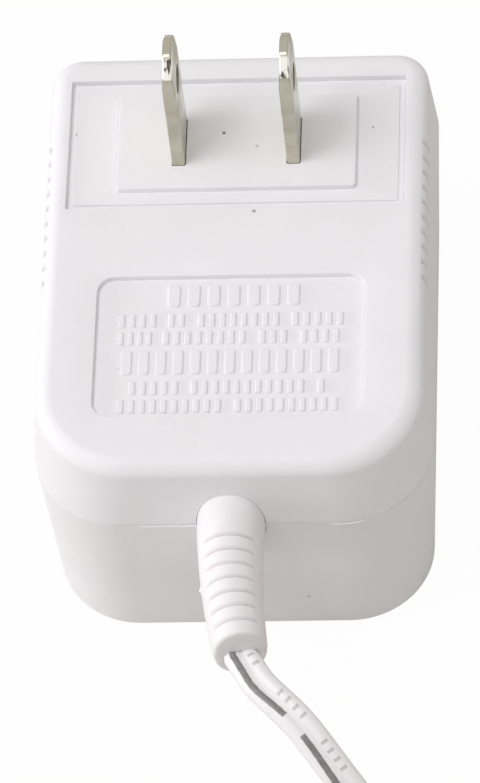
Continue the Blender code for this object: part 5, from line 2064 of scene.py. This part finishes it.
@dataclass
class Studio:
    """A pale floor, a soft sky, lamps from above left and overhead and a wide low one from the left."""

    sky: float = 0.50
    sky_colour: Triple = (1.0, 0.982, 0.952)
    floor_colour: Triple = (0.72, 0.706, 0.674)
    floor_glow: float = 0.97
    floor_half: float = 3.0
    floor_z: float = -0.0001
    lamps: tuple[Lamp, ...] = (
        Lamp("key", 2.75, 0.45, 0.45, (-0.41, -0.18, 0.89)),
        Lamp("side", 3.95, 0.9, 0.3, (-0.985, -0.04, 0.16)),
        Lamp("over", 1.68, 0.5, 0.5, (-0.02, -0.12, 0.99)),
    )

    def build(self) -> None:
        """Makes the floor, the sky and the lamps."""
        scene = bpy.context.scene
        scene.view_settings.view_transform = "Standard"
        self._sky(scene)
        self._floor()
        for lamp in self.lamps:
            lamp.build()

    def _sky(self, scene: bpy.types.Scene) -> None:
        """Even light all round, and plain white to the camera and in reflections.

        Args:
            scene: the scene that it lights.
        """
        world = bpy.data.worlds.new("studio")
        world.use_nodes = True
        scene.world = world
        recipe = Recipe(world.node_tree)
        path = recipe.add("LightPath")
        seen = recipe.math("MAXIMUM", path.outputs["Is Camera Ray"], path.outputs["Is Glossy Ray"])
        seen = recipe.math("MAXIMUM", seen, path.outputs["Is Transmission Ray"])
        strength = recipe.spread(seen, self.sky, 1.0)
        recipe.feed(world.node_tree.nodes["Background"], Color=rgba(self.sky_colour), Strength=strength)

    def _floor(self) -> None:
        """A wide pale plane, seen mostly as white, that keeps a faint shadow."""
        mesh = bpy.data.meshes.new("floor")
        corners = ((-1, -1), (1, -1), (1, 1), (-1, 1))
        points = [(x * self.floor_half, y * self.floor_half, self.floor_z) for x, y in corners]
        mesh.from_pydata(points, [], [(0, 1, 2, 3)])
        floor = bpy.data.objects.new("floor", mesh)
        bpy.context.scene.collection.objects.link(floor)
        made, recipe, shader = new_material("floor_paper")
        recipe.feed(shader, Base_Color=rgba(self.floor_colour), Roughness=0.9, Specular_IOR_Level=0.1)
        glow = recipe.add("Emission", None, Strength=1.0)
        path = recipe.add("LightPath")
        seen = recipe.math("MAXIMUM", path.outputs["Is Camera Ray"], path.outputs["Is Transmission Ray"])
        share = recipe.product(seen, self.floor_glow)
        mixed = recipe.add("MixShader", None, in_0=share, in_1=shader.outputs[0], in_2=glow.outputs[0])
        recipe.feed(made.node_tree.nodes["Material Output"], Surface=mixed.outputs[0])
        mesh.materials.append(made)


def dress_cad_nodes(finishes: dict[str, bpy.types.Material]) -> None:
    """Gives every CAD node the procedural material of its slot.

    Args:
        finishes: the materials by slot.
    """
    for name, node in frame["nodes"].items():
        for place in node.material_slots:
            if place.material is not None:
                key = place.material.name.split(".")[0]
                place.material = finishes.get(key, finishes["case_white"])
        LOG.info("%s: carried over", name)


def main() -> None:
    """Builds the studio and the adapter's pieces in order and reports each one."""
    logging.basicConfig(level=logging.INFO, format="%(name)s %(message)s")
    View().build()
    effects = Effects()
    finishes = {finish.name: finish.build(effects) for finish in FINISHES}
    lead, route = Lead().build(finishes["cord_white"])
    finish_piece(lead, "cord_white", "cord_run", "cord_coil", "cord_tail")
    plug = Plug().build(finishes)
    tie = Tie().build(finishes["black_epoxy"])
    boot = Boot().build(finishes["boot_white"])
    Studio().build()
    covers = Covers()
    covers.build_front(finishes["case_white"])
    covers.build_rear(finishes["case_white"])
    covers.build_bars(finishes["case_white"])
    blades = Blades()
    for side in (-1, 1):
        blades.build(side, finishes["nickel"])
    dress_cad_nodes(finishes)


if __name__ == "__main__":
    main()
